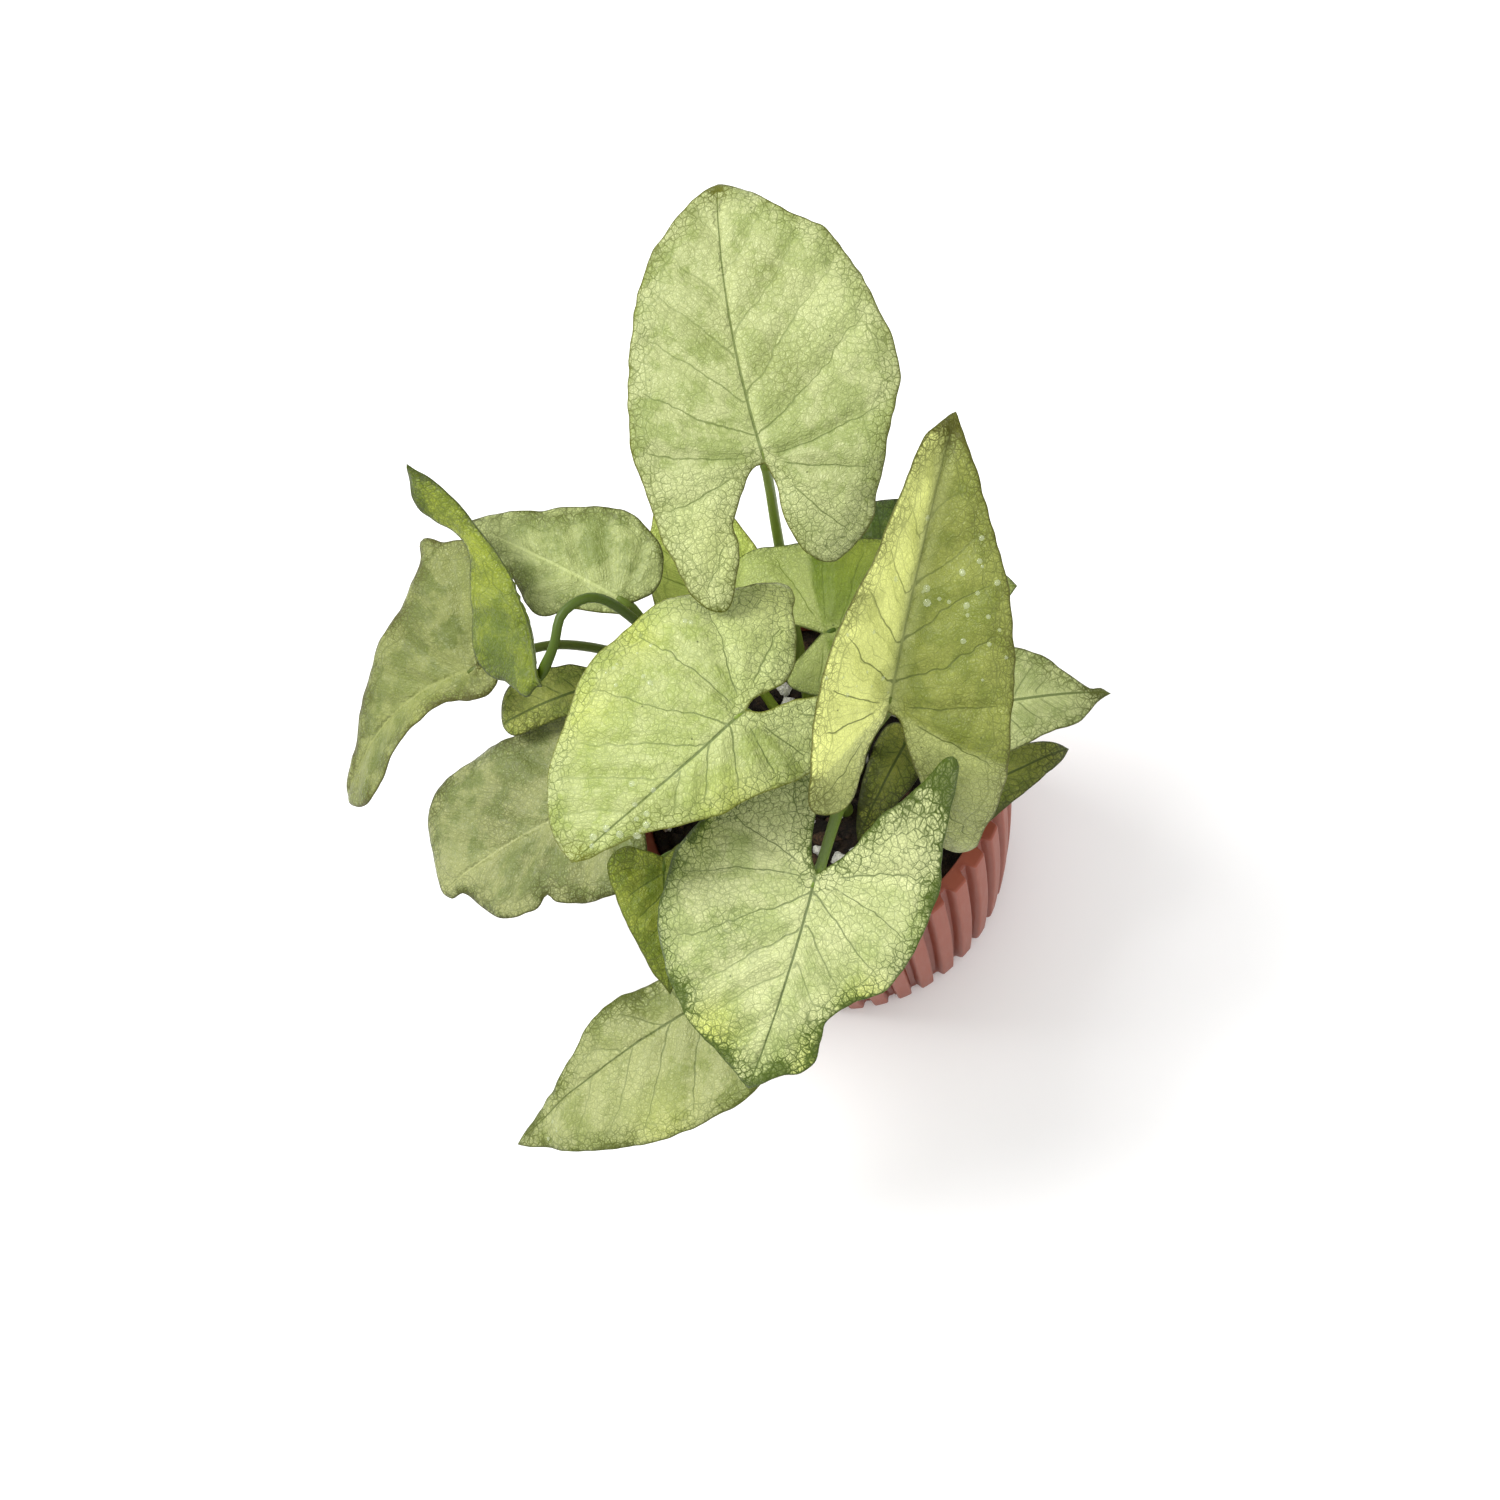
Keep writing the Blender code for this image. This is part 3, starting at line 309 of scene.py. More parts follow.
# The look of each leaf. Colours are what the eye sees, 0 to 255: cream is the pale ground, green its
# mottling, deep its darkest places, vein its veins and pale the ground beside the midrib, also the
# painted highlight on a raised midrib. mottle is the share of green and rim the darkness of the
# margin. net, striate, side_veins and rib are the strength of the net of small veins, of the fine
# lines between the side veins, of those and of the midrib; rib_highlight makes the midrib pale
# instead, a painted highlight on a raised midrib. blots are dark places, warm ones yellow and bare
# ones pale, each as (along the midrib, left of it, radius, strength). lit_half is painted light: it
# lifts the left and the right half towards warm_colour where that half faces the light. lobes says,
# left and right, past which counted vein the lobe behind the stalk is pale. dew holds groups of
# drops: how many, along the midrib, left of it, reach and radius.
LOOKS = {
    "leaf_back_tall": {
        "cream": (177, 184, 127), "green": (133, 149, 74), "deep": (90, 94, 16),
        "vein": (88, 103, 43), "mottle": 0.62, "rim": 0.45, "net": 0.7, "lobes": (-0.3, -1.45),
        "blots": [(48, 0.5, 3, 1.0), (42, 8, 6, 0.3), (30, -5, 6, 0.25), (14, -5, 6, 0.3),
                  (22, 4, 5, 0.2)],
        "warm": [(-14, 10, 7, 0.3)], "bare": [(20, -14, 12, 0.6)],
    },
    # Painted light on this leaf: its dark cream is painted shade on the right half, which faces away
    # from the light, and the bright warm_colour over its left half is painted light where that half
    # faces it.
    "leaf_right_folded": {
        "cream": (135, 142, 65), "green": (106, 117, 40), "deep": (79, 81, 9), "vein": (71, 83, 25),
        "pale": (180, 187, 120), "warm_colour": (243, 249, 150), "mottle": 0.7, "rim": 0.6,
        "net": 0.5, "striate": 0.12, "rib": 0.45, "lobes": (-1.6, -0.9), "lit_half": (1.0, 0.0),
        "blots": [(45, 0, 5, 0.8), (14, -16, 5, 0.25), (-26, 11, 4, 0.5), (2, -12, 4, 0.3),
                  (30, -6, 5, 0.25), (-14, 12, 4, 0.45)],
        "dew": [(26, 18, -8, 14, 0.55), (10, 5, 7, 10, 0.3)],
    },
    "leaf_centre": {
        "cream": (175, 184, 120), "green": (140, 157, 69), "deep": (103, 108, 15),
        "vein": (79, 95, 39), "mottle": 0.6, "rim": 0.25, "net": 0.75, "striate": 0.36,
        "blots": [(37, 0, 3.5, 0.6), (32, 10, 4, 0.2), (22, 4, 5, 0.2)],
        "warm": [(6, -24, 6, 0.35), (20, -18, 6, 0.35), (-18, -13, 6, 0.4), (10, 13, 6, 0.5)],
        "bare": [(14, -3, 9, 0.4)],
        "dew": [(16, 30, 3, 8, 0.6), (12, 20, 11, 6, 0.45), (14, 8, -18, 8, 0.4)],
    },
    "leaf_front": {
        "cream": (192, 198, 140), "green": (137, 155, 77), "deep": (66, 84, 6),
        "vein": (73, 89, 41), "mottle": 0.5, "rim": 1.0, "net": 0.8, "striate": 0.4,
        "blots": [(32, 6, 4.5, 0.8), (34, -4, 4, 0.7), (25, 8, 4, 0.6), (26, -15, 5, 0.6),
                  (27, -5, 3, 0.4), (-20, 18, 4.5, 1.0), (-14, 18, 4, 0.4), (-4, 20, 3.5, 0.4),
                  (8, 19, 4, 0.3), (-12, -17, 6, 0.5), (14, 10, 4, 0.25), (12, -11, 5, 0.4),
                  (-16, -9, 4, 0.4), (2, -20, 6, 0.45)],
        "warm": [(16, 15, 4, 0.7), (30, -9, 5, 0.7), (28, 11, 4, 0.8), (33, 8, 3, 0.6),
                 (0, -24, 5, 0.4)],
        "bare": [(2, 5, 10, 0.7), (-8, -7, 7, 0.3), (22, 0, 4, 0.5), (-10, 12, 6, 0.6)],
    },
    "leaf_front_low": {
        "cream": (159, 164, 108), "green": (124, 135, 66), "deep": (76, 85, 12),
        "vein": (79, 92, 40), "mottle": 0.78, "rim": 0.85, "net": 0.6,
        "blots": [(14, -8, 5, 0.6), (46, 0, 4, 0.4), (30, 13, 4, 0.4), (36, -3, 3, 0.3)],
        "warm": [(20, 15, 6, 0.3)], "bare": [(24, 4, 10, 0.8)], "dew": [(7, 40, 2, 5, 0.4)],
    },
    "leaf_middle": {
        "cream": (124, 148, 41), "green": (92, 118, 21), "deep": (67, 79, 4),
        "vein": (107, 125, 38), "pale": (204, 212, 135), "mottle": 0.75, "rim": 0.35, "net": 0.2,
        "lobes": (-0.35, -0.35),
        "blots": [(26, 4, 6, 0.4), (-6, 14, 6, 0.2)],
        "warm": [(10, 13, 7, 0.4)], "bare": [(0, 2, 6, 0.4)],
    },
    "leaf_left_low": {
        "cream": (149, 153, 98), "green": (103, 116, 56), "deep": (67, 71, 9), "vein": (74, 85, 41),
        "mottle": 0.72, "rim": 0.9, "net": 0.45, "rib": 0.0, "rib_highlight": 0.7, "side_veins": 0.35,
        "blots": [(18, 8, 6, 0.3), (34, 6, 5, 0.35), (14, -14, 6, 0.3), (33, -15, 4, 0.3),
                  (12, 13, 5, 0.3), (22, -6, 6, 0.4)],
        "bare": [(8, -4, 8, 0.4)],
    },
    "leaf_small_front": {
        "cream": (133, 143, 45), "green": (98, 118, 24), "deep": (71, 80, 4), "vein": (65, 85, 12),
        "mottle": 0.8, "rim": 0.5, "net": 0.35,
        "blots": [(0, -6, 5, 0.6), (17, 0, 5, 0.3)],
        "warm": [(10, -6, 5, 0.3)],
    },
    "leaf_far_left": {
        "cream": (133, 139, 78), "green": (100, 111, 47), "deep": (72, 72, 7), "vein": (71, 82, 29),
        "mottle": 0.95, "rim": 0.95, "net": 0.4, "rib": 0.0, "rib_highlight": 0.6, "side_veins": 0.3,
        "blots": [(42, 0, 7, 0.45), (-8, 22, 5, 0.55), (3, 10, 7, 0.4), (8, -14, 5, 0.3)],
        "warm": [(14, 6, 8, 0.25)], "bare": [(16, -8, 7, 0.3)],
    },
    "leaf_left_narrow": {
        "cream": (117, 130, 27), "green": (82, 100, 9), "deep": (58, 69, 4), "vein": (54, 74, 5),
        "mottle": 0.85, "rim": 0.6, "net": 0.3, "rib": 0.3, "side_veins": 0.3,
        "blots": [(40, 0, 6, 0.4), (6, 8, 5, 0.4), (8, -4, 8, 0.35)],
        "warm": [(28, -2, 9, 0.3)],
    },
    "leaf_back_left": {
        "cream": (167, 176, 112), "green": (119, 133, 65), "deep": (73, 78, 11),
        "vein": (83, 98, 44), "mottle": 0.75, "rim": 0.9, "net": 0.4, "rib": 0.0, "rib_highlight": 0.7,
        "side_veins": 0.3,
        "blots": [(30, 1, 5, 0.4), (6, 12, 5, 0.35), (18, -8, 4, 0.3)],
        "bare": [(12, 2, 6, 0.3)],
    },
    "leaf_back_olive": {
        "cream": (205, 218, 118), "green": (170, 188, 86), "deep": (108, 112, 24),
        "vein": (104, 125, 40), "mottle": 0.6, "rim": 0.4, "net": 0.3,
        "warm": [(8, -2, 10, 0.4)],
    },
    "leaf_back_dark": {
        "cream": (103, 122, 45), "green": (71, 96, 25), "deep": (48, 59, 4), "vein": (48, 67, 14),
        "mottle": 0.8, "rim": 0.8, "net": 0.6,
        "blots": [(4, 0, 9, 0.5)],
    },
    "leaf_right": {
        "cream": (172, 179, 120), "green": (126, 141, 73), "deep": (73, 80, 10),
        "vein": (80, 94, 43), "mottle": 0.6, "rim": 0.6, "net": 0.6,
        "blots": [(20, 0, 3, 0.9), (12, 4, 3, 0.3)],
        "bare": [(6, 0, 5, 0.3)],
    },
    "leaf_right_low": {
        "cream": (119, 125, 46), "green": (85, 98, 23), "deep": (57, 63, 4), "vein": (52, 66, 12),
        "mottle": 0.8, "rim": 0.7, "net": 0.6,
        "blots": [(20, 0, 4, 0.6), (4, -3, 6, 0.4)],
    },
    "leaf_inner_low": {
        "cream": (135, 138, 54), "green": (93, 107, 30), "deep": (55, 61, 6), "vein": (58, 72, 16),
        "mottle": 0.75, "rim": 0.9, "net": 0.6,
        "blots": [(14, -2, 5, 0.5)],
        "warm": [(4, 2, 4, 0.3)],
    },
    "leaf_small_left": {
        "cream": (167, 173, 83), "green": (120, 137, 50), "deep": (75, 81, 10),
        "vein": (72, 90, 29), "mottle": 0.7, "rim": 0.6, "net": 0.5,
        "blots": [(12, 2, 5, 0.5)],
    },
}

# What a leaf's look is where its entry says nothing.
PLAIN_LOOK = {
    "warm_colour": (206, 214, 92), "striate": 0.35, "rib": 0.9, "rib_highlight": 0.0, "side_veins": 0.8,
    "lobes": (-0.8, -0.8), "lit_half": (0.0, 0.0), "blots": (), "warm": (), "bare": (), "dew": (),
}


def paint(red, green, blue):
    """A colour as the eye sees it, 0 to 255, as the light values that a shader takes."""
    def light(value):
        value = value / 255
        return value / 12.92 if value <= 0.04045 else ((value + 0.055) / 1.055) ** 2.4
    return (light(red), light(green), light(blue), 1.0)


def brighter(colour, factor, more):
    """A colour scaled and then lifted, each part 255 at most."""
    return [min(255, factor * part + more) for part in colour]


class Wire:
    """One socket of a shader, which sums and products can be written with."""

    def __init__(self, skin, socket):
        self.skin = skin
        self.socket = socket

    def maths(self, operation, *others):
        sockets = dict(enumerate((self, *others)))
        return self.skin.node("ShaderNodeMath", {"operation": operation}, sockets)

    def __add__(self, other):
        return self.maths("ADD", other)

    __radd__ = __add__

    def __mul__(self, other):
        return self.maths("MULTIPLY", other)

    __rmul__ = __mul__

    def __sub__(self, other):
        return self.maths("SUBTRACT", other)

    def __rsub__(self, other):
        return self.maths("MULTIPLY_ADD", -1.0, other)

    def __truediv__(self, other):
        return self.maths("DIVIDE", other)

    def __rtruediv__(self, other):
        return self.maths("POWER", -1.0) * other

    def __abs__(self):
        return self.maths("ABSOLUTE")

    def most(self, other):
        return self.maths("MAXIMUM", other)

    def least(self, other):
        return self.maths("MINIMUM", other)

    def ramp(self, low, high, start=0.0, end=1.0):
        """Eases from start, at low, to end, at high, and stays there."""
        settings = {"interpolation_type": "SMOOTHSTEP"}
        sockets = {0: self, 1: low, 2: high, 3: start, 4: end}
        return self.skin.node("ShaderNodeMapRange", settings, sockets)

    def fall(self, low, high, start=1.0):
        """Eases from start, at low, down to nothing, at high."""
        return self.ramp(low, high, start, 0.0)

    def gap(self, spread):
        """How far off the nearest whole number lies, in millimetres."""
        return self.maths("PINGPONG", 0.5) * spread


class Skin:
    """A material and its Principled shader, with short calls for the nodes that feed it."""

    def __init__(self, name):
        self.material = bpy.data.materials.new(name)
        self.material.use_nodes = True
        self.tree = self.material.node_tree
        self.surface = self.tree.nodes["Principled BSDF"]

    def feed(self, socket, value):
        if isinstance(value, Wire):
            self.tree.links.new(value.socket, socket)
        else:
            socket.default_value = value

    def node(self, kind, settings, sockets, output=0):
        """Any node: its type, its settings, and the value or the wire for each of its sockets."""
        made = self.tree.nodes.new(kind)
        for name, value in settings.items():
            setattr(made, name, value)
        for key, value in sockets.items():
            self.feed(made.inputs[key], value)
        return Wire(self, made.outputs[output])

    def attribute(self, name):
        """The three numbers that a mesh attribute holds, each as a wire."""
        return self.parted(self.node("ShaderNodeAttribute", {"attribute_name": name}, {}, "Vector"))

    def parted(self, vector):
        """A vector's three numbers, each as a wire."""
        return [self.node("ShaderNodeSeparateXYZ", {}, {0: vector}, k) for k in range(3)]

    def place(self):
        """The point on the piece, in millimetres."""
        spot = self.node("ShaderNodeTexCoord", {}, {}, "Object")
        return self.scaled(spot, 1 / MM)

    def scaled(self, vector, factor):
        sockets = {0: vector, "Scale": factor}
        return self.node("ShaderNodeVectorMath", {"operation": "SCALE"}, sockets)

    def joined(self, x, y, z):
        return self.node("ShaderNodeCombineXYZ", {}, {0: x, 1: y, 2: z})

    def cloud(self, place, scale, detail=2.0, rough=0.5):
        sockets = {"Vector": place, "Scale": scale, "Detail": detail, "Roughness": rough}
        return self.node("ShaderNodeTexNoise", {}, sockets, "Fac")

    def wander(self, place, scale, reach):
        """The place, moved about by up to half of reach."""
        sockets = {"Vector": place, "Scale": scale, "Detail": 1.0}
        spot = self.node("ShaderNodeTexNoise", {}, sockets, "Color")
        sockets = {0: spot, 1: (0.5, 0.5, 0.5)}
        off = self.node("ShaderNodeVectorMath", {"operation": "SUBTRACT"}, sockets)
        sockets = {0: place, 1: self.scaled(off, reach)}
        return self.node("ShaderNodeVectorMath", {"operation": "ADD"}, sockets)

    def cells(self, place, scale, feature="DISTANCE_TO_EDGE"):
        sockets = {"Vector": place, "Scale": scale}
        return self.node("ShaderNodeTexVoronoi", {"feature": feature}, sockets, "Distance")

    def mixed(self, share, low, high):
        """One colour passing into another."""
        settings = {"data_type": "RGBA", "clamp_factor": True}
        return self.node("ShaderNodeMix", settings, {0: share, 6: low, 7: high}, 2)

    def shine(self, **sockets):
        for name, value in sockets.items():
            self.feed(self.surface.inputs[name.replace("_", " ")], value)

    def relief(self, height, depth, strength):
        """Bump from a height between 0 and 1, depth millimetres deep."""
        sockets = {"Strength": strength, "Distance": depth * MM, "Height": height}
        self.feed(self.surface.inputs["Normal"], self.node("ShaderNodeBump", {}, sockets))


def blade_skin(name, look, seed):
    """Leaf tissue: pale ground, mottling, the net of small veins, side veins, midrib and rim, with
    painted highlights on the small cells, on a raised midrib and over a lit half.
    """
    skin = Skin(name)
    along, out, edge = skin.attribute("blade")
    phase, spread, side = skin.attribute("veins")
    dark, warm, bare = skin.attribute("tone")
    cream, green, deep, vein = (paint(*look[key]) for key in ("cream", "green", "deep", "vein"))
    place = skin.joined(along + 61.0 * seed, out, side * 2.0)
    drift = skin.cloud(place, 0.10, 2.0)
    patches = skin.cloud(place, 0.17, 4.0, 0.62)
    grain = skin.cloud(place, 1.3, 3.0, 0.6)
    loose = skin.wander(place, 0.9, 0.9)
    coarse = skin.cells(loose, 0.74)
    small = skin.cells(loose, 1.9)

    # Ground
    mottle = patches.ramp(0.44, 0.58) * 0.95 + grain.ramp(0.38, 0.68) * 0.25
    ground = skin.mixed(mottle * look["mottle"], cream, green)
    # warm also carries painted light: a lit half is lifted towards warm_colour here.
    ground = skin.mixed(warm * 0.9, ground, paint(*look["warm_colour"]))
    lighter = paint(*look["pale"])
    flank = abs(out).fall(0.5, 3.0, 0.5)
    ground = skin.mixed((bare * 0.7).most(flank), ground, lighter)
    # Painted highlight: the middles of the small cells, which bulge, are made lighter.
    bright = paint(*brighter(look["cream"], 1.10, 8))
    ground = skin.mixed(small.ramp(0.20, 0.46) * (0.16 + bare * 0.08), ground, bright)
    ground = skin.mixed(drift.fall(0.36, 0.46, 0.30) * (1.0 - bare), ground, green)

    # Veins
    wave = drift - 0.5
    kink = skin.cloud(place, 0.33, 2.0) - 0.5
    counted = phase + wave * 0.40 + kink * 0.20
    loosely = spread.ramp(0.6, 2.6)
    wide = (0.22 - abs(out) * 0.005).most(0.10)
    young = 1.0 - along.ramp(0.0, 0.9 * look["length"]) * 0.5
    off = counted.gap(spread)
    lateral = (off / wide).fall(0.35, 1.0) * edge.ramp(1.8, 3.0) * young * loosely
    minor = (counted * 3.0 + kink * 0.9).gap(spread) / 3.0
    minor = minor.fall(0.03, 0.13) * edge.ramp(1.4, 2.4) * loosely
    minor = minor * kink.ramp(-0.2, 0.1, 0.35, 1.0)
    fine = (counted * 9.0 + patches * 3.8).gap(spread) / 9.0
    striate = fine.fall(0.04, 0.15) * edge.ramp(1.6, 4.5) * (1.0 - bare * 0.8) * loosely
    striate = striate * kink.ramp(-0.22, 0.1, 0.3, 1.0)
    midrib = (abs(out) / (0.34 - along * 0.005).most(0.14)).fall(0.45, 1.15)
    midrib = midrib * along.ramp(-1.5, 0.0)
    scallop = (counted * 6.2832).maths("COSINE") * 0.55
    ring = abs(edge - 3.0 - wave * 4.4 - scallop - kink * 1.2).fall(0.06, 0.18)
    second = abs(edge - 1.15 - wave * 0.9 - kink * 0.9).fall(0.04, 0.14)
    near = edge.fall(1.0, 5.5)
    patchy = patches.ramp(0.36, 0.60)
    net = coarse.fall(0.016, 0.062) * (0.48 + near * 0.55 + bare * 0.32).least(1.0)
    threads = small.fall(0.02, 0.11) * (0.20 + bare * 0.12 + near * 0.08)
    lines = (net * look["net"]).most(threads).most(striate * look["striate"]).most(minor * 0.42)
    lines = lines.most(ring * 0.46).most(second * 0.40).most(lateral * look["side_veins"])
    lines = lines.most(midrib * look["rib"])
    colour = skin.mixed(lines, ground, vein)
    # Painted highlight: where the look asks, the raised midrib is made pale.
    colour = skin.mixed(midrib * look["rib_highlight"], colour, lighter)

    # Dark places: the net is dark there, and in the darkest the cells too
    rim = edge.fall(0.0, 4.2) * patchy * look["rim"]
    shade = (dark * 0.9 + rim * 0.7 + edge.fall(0.0, 1.2, 0.22)).least(1.0)
    dark_net = coarse.fall(0.03, 0.13).most(small.fall(0.03, 0.15, 0.75))
    colour = skin.mixed(shade * (0.15 + grain * 0.4), colour, skin.mixed(0.5, green, deep))
    colour = skin.mixed((dark_net * shade * 1.25).least(1.0), colour, deep)
    colour = skin.mixed((shade * 2.0 + patches * 1.4 - 2.1).ramp(0.0, 0.6) * 0.8, colour, deep)
    colour = skin.mixed(edge.fall(0.08, 0.38, 0.85), colour, deep)
    spots = skin.cells(place, 0.16, "F1")
    colour = skin.mixed(spots.fall(0.02, 0.035, 0.7), colour, paint(58, 68, 24))
    under = skin.mixed(lines * 0.5, paint(*brighter(look["green"], 0.86, 22)), vein)
    colour = skin.mixed(side.fall(-0.3, 0.3) * 0.8, colour, under)

    pillow = off.ramp(0.0, 2.6) * edge.ramp(1.0, 4.0) * loosely
    height = pillow * 2.2 + skin.cloud(place, 0.24, 1.0) * 5.0 - lines * 0.7
    height = height + coarse.ramp(0.0, 0.45) * 0.52 + small.ramp(0.0, 0.4) * 0.32 + grain * 0.3
    skin.relief(height, 0.20, 0.75)
    rough = 0.31 + grain * 0.16 + lines * 0.12
    skin.shine(Base_Color=colour, Roughness=rough, Specular_IOR_Level=0.30)
    return skin.material


def stalk_skin(name, look, seed):
    """A fresh stalk: green, paler up its length, with fine lengthwise streaks."""
    skin = Skin(name)
    along, turn, share = skin.attribute("blade")
    streak = skin.cloud(skin.joined(along * 0.06 + seed, turn * 2.4, 0.0), 1.6, 3.0)
    fleck = skin.cloud(skin.place(), 1.4, 2.0)
    fresh = [c * f for c, f in zip(look["green"], (0.92, 1.0, 0.72))]
    low = paint(*[0.42 * a + 0.45 * b for a, b in zip(fresh, look["deep"])])
    high = paint(*[0.74 * a + 0.15 * b for a, b in zip(fresh, look["deep"])])
    colour = skin.mixed(share.ramp(0.0, 0.9) * 0.8 + streak.ramp(0.35, 0.7) * 0.3, low, high)
    colour = skin.mixed(fleck.ramp(0.58, 0.72) * 0.3, colour, paint(*look["deep"]))
    skin.relief(streak, 0.12, 0.5)
    skin.shine(Base_Color=colour, Roughness=0.42 + fleck * 0.1, Specular_IOR_Level=0.3)
    return skin.material


def pot_skin(colour):
    """Satin moulded plastic with a faint grain, a few scuffs, painted shade in the grooves and dark
    crumbs on the inside below the rim.
    """
    skin = Skin("pot_plastic")
    place = skin.place()
    x, y, z = skin.parted(place)
    groove, inside, _ = skin.attribute("wall")
    drift = skin.cloud(place, 0.09, 2.0)
    grain = skin.cloud(place, 7.0, 2.0)
    scuff = skin.cloud(skin.joined(x * 1.5, y * 1.5, z * 0.25), 0.5, 4.0, 0.65)
    # Painted shade: deep is the darker colour laid into the grooves between the ribs.
    deep = (colour[0] * 0.62, colour[1] * 0.50, colour[2] * 0.50, 1.0)
    worn = (min(1.0, colour[0] * 1.12), colour[1] * 1.22, colour[2] * 1.24, 1.0)
    shade = skin.mixed(groove * 0.45 + drift.ramp(0.35, 0.7) * 0.10, (*colour, 1.0), deep)
    shade = skin.mixed(scuff.ramp(0.60, 0.76) * 0.35 * (1.0 - groove), shade, worn)
    crumbs = skin.cells(place, 0.9, "F1").fall(0.10, 0.16)
    crumbs = crumbs * skin.cloud(place, 0.35).ramp(0.5, 0.6)
    shade = skin.mixed(crumbs * inside, shade, paint(52, 40, 32))
    rough = 0.38 + scuff * 0.16 + inside * 0.1
    skin.relief(grain * 0.5 + scuff * 0.5, 0.05, 0.35)
    skin.shine(Base_Color=shade, Roughness=rough, Specular_IOR_Level=0.28)
    return skin.material


def mix_skin(colour):
    """Damp potting mix: near black, with brown fibres and coarse grain."""
    skin = Skin("potting_mix")
    place = skin.place()
    lumps = skin.cloud(place, 0.45, 5.0, 0.7)
    grain = skin.cloud(place, 2.6, 4.0, 0.7)
    fibres = skin.cells(skin.wander(place, 0.5, 3.0), 1.2)
    brown = paint(74, 56, 42)
    shade = skin.mixed(lumps.ramp(0.42, 0.70) * 0.6, (*colour, 1.0), brown)
    shade = skin.mixed(grain.ramp(0.60, 0.75) * 0.35, shade, paint(104, 84, 62))
    skin.relief(lumps + grain * 0.6 + fibres * 0.4, 0.9, 0.9)
    skin.shine(Base_Color=shade, Roughness=0.86 + grain * 0.1, Specular_IOR_Level=0.3)
    return skin.material


def perlite_skin(colour):
    """Popped mineral grains: chalk white and full of pores."""
    skin = Skin("perlite")
    place = skin.place()
    pores = skin.cells(place, 2.2, "F1")
    drift = skin.cloud(place, 0.8, 3.0)
    # Painted shade: the pits of the pores are greyer; a loose drift adds more grey besides.
    grey = pores.fall(0.08, 0.30, 0.5) + drift.ramp(0.5, 0.8) * 0.25
    shade = skin.mixed(grey, (*colour, 1.0), paint(168, 160, 146))
    skin.relief(pores, 0.35, 0.9)
    skin.shine(Base_Color=shade, Roughness=0.88, Specular_IOR_Level=0.3)
    return skin.material


def bark_skin():
    """Chips of composted bark, dark brown with a stringy grain."""
    skin = Skin("bark")
    place = skin.place()
    grain = skin.cloud(skin.wander(place, 0.4, 4.0), 1.8, 4.0, 0.7)
    shade = skin.mixed(grain.ramp(0.35, 0.7), paint(38, 28, 21), paint(98, 72, 50))
    skin.relief(grain, 0.4, 0.8)
    skin.shine(Base_Color=shade, Roughness=0.82 + grain * 0.1, Specular_IOR_Level=0.35)
    return skin.material


def water_skin():
    """A drop of clear water, mostly see-through, with a pale green-white body colour as painted
    highlight, so that it shows as a light bead.
    """
    skin = Skin("dew")
    tint = skin.cloud(skin.place(), 2.0, 1.0)
    # Painted highlight: the pale body colour makes the drop read as a light bead.
    colour = skin.mixed(tint, (0.80, 0.86, 0.60, 1.0), (0.70, 0.80, 0.48, 1.0))
    skin.shine(Base_Color=colour, Roughness=0.05, Alpha=0.24, IOR=1.33, Specular_IOR_Level=1.0)
    return skin.material


def mesh_piece(name, points, faces, materials):
    """A piece in the scene from points in millimetres."""
    mesh = bpy.data.meshes.new(name)
    mesh.from_pydata([(x * MM, y * MM, z * MM) for x, y, z in points], [], faces)
    for made in materials:
        mesh.materials.append(made)
    mesh.shade_smooth()
    piece = bpy.data.objects.new(name, mesh)
    bpy.context.scene.collection.objects.link(piece)
    return piece


def settle(piece, node=None):
    """Hangs a piece on the part's body and, if given, hides the node it shows."""
    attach(piece, "root")
    if node:
        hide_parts(node)


def outward(piece):
    """Turns the faces of each closed shell outwards."""
    work = bmesh.new()
    work.from_mesh(piece.data)
    bmesh.ops.recalc_face_normals(work, faces=work.faces)
    work.to_mesh(piece.data)
    work.free()


def within(value):
    """The value, kept between 0 and 1."""
    return min(max(value, 0.0), 1.0)


def bell(off, width):
    """1 in the middle, falling softly to nothing some widths off it."""
    return math.exp(-(off / width) ** 2)


def store(mesh, name, values):
    """Keeps three numbers for each point, for the shaders to read."""
    layer = mesh.attributes.new(name, "FLOAT_VECTOR", "POINT")
    layer.data.foreach_set("vector", [float(v) for row in values for v in row])


def circle(radius, height, sides, shift=0.0):
    """Points of a level circle. It starts at the X axis or some steps further on."""
    turns = [2 * math.pi * (k + shift) / sides for k in range(sides)]
    return [(radius * math.cos(turn), radius * math.sin(turn), height) for turn in turns]


def bands(start, rings, sides):
    """The faces between rings of points that follow one another, from the point start on."""
    faces = []
    for ring in range(rings - 1):
        a, b = start + ring * sides, start + (ring + 1) * sides
        for k in range(sides):
            n = (k + 1) % sides
            faces.append((a + k, a + n, b + n, b + k))
    return faces


def catmull_rom(points, steps=CURVE_STEPS):
    """Points along a smooth curve through the given ones, with some steps between each two."""
    padded = [points[0] * 2 - points[1]] + list(points) + [points[-1] * 2 - points[-2]]
    curve = []
    for i in range(len(points) - 1):
        a, b, c, d = padded[i:i + 4]
        for k in range(steps):
            t = k / steps
            curve.append(
                0.5 * (2 * b + (c - a) * t + (2 * a - 5 * b + 4 * c - d) * t ** 2
                       + (3 * b - a - 3 * c + d) * t ** 3)
            )
    curve.append(points[-1].copy())
    return curve


def reaches(curve):
    """How far along a curve each of its points lies."""
    reach = [0.0]
    for a, b in zip(curve, curve[1:]):
        reach.append(reach[-1] + (b - a).length)
    return reach


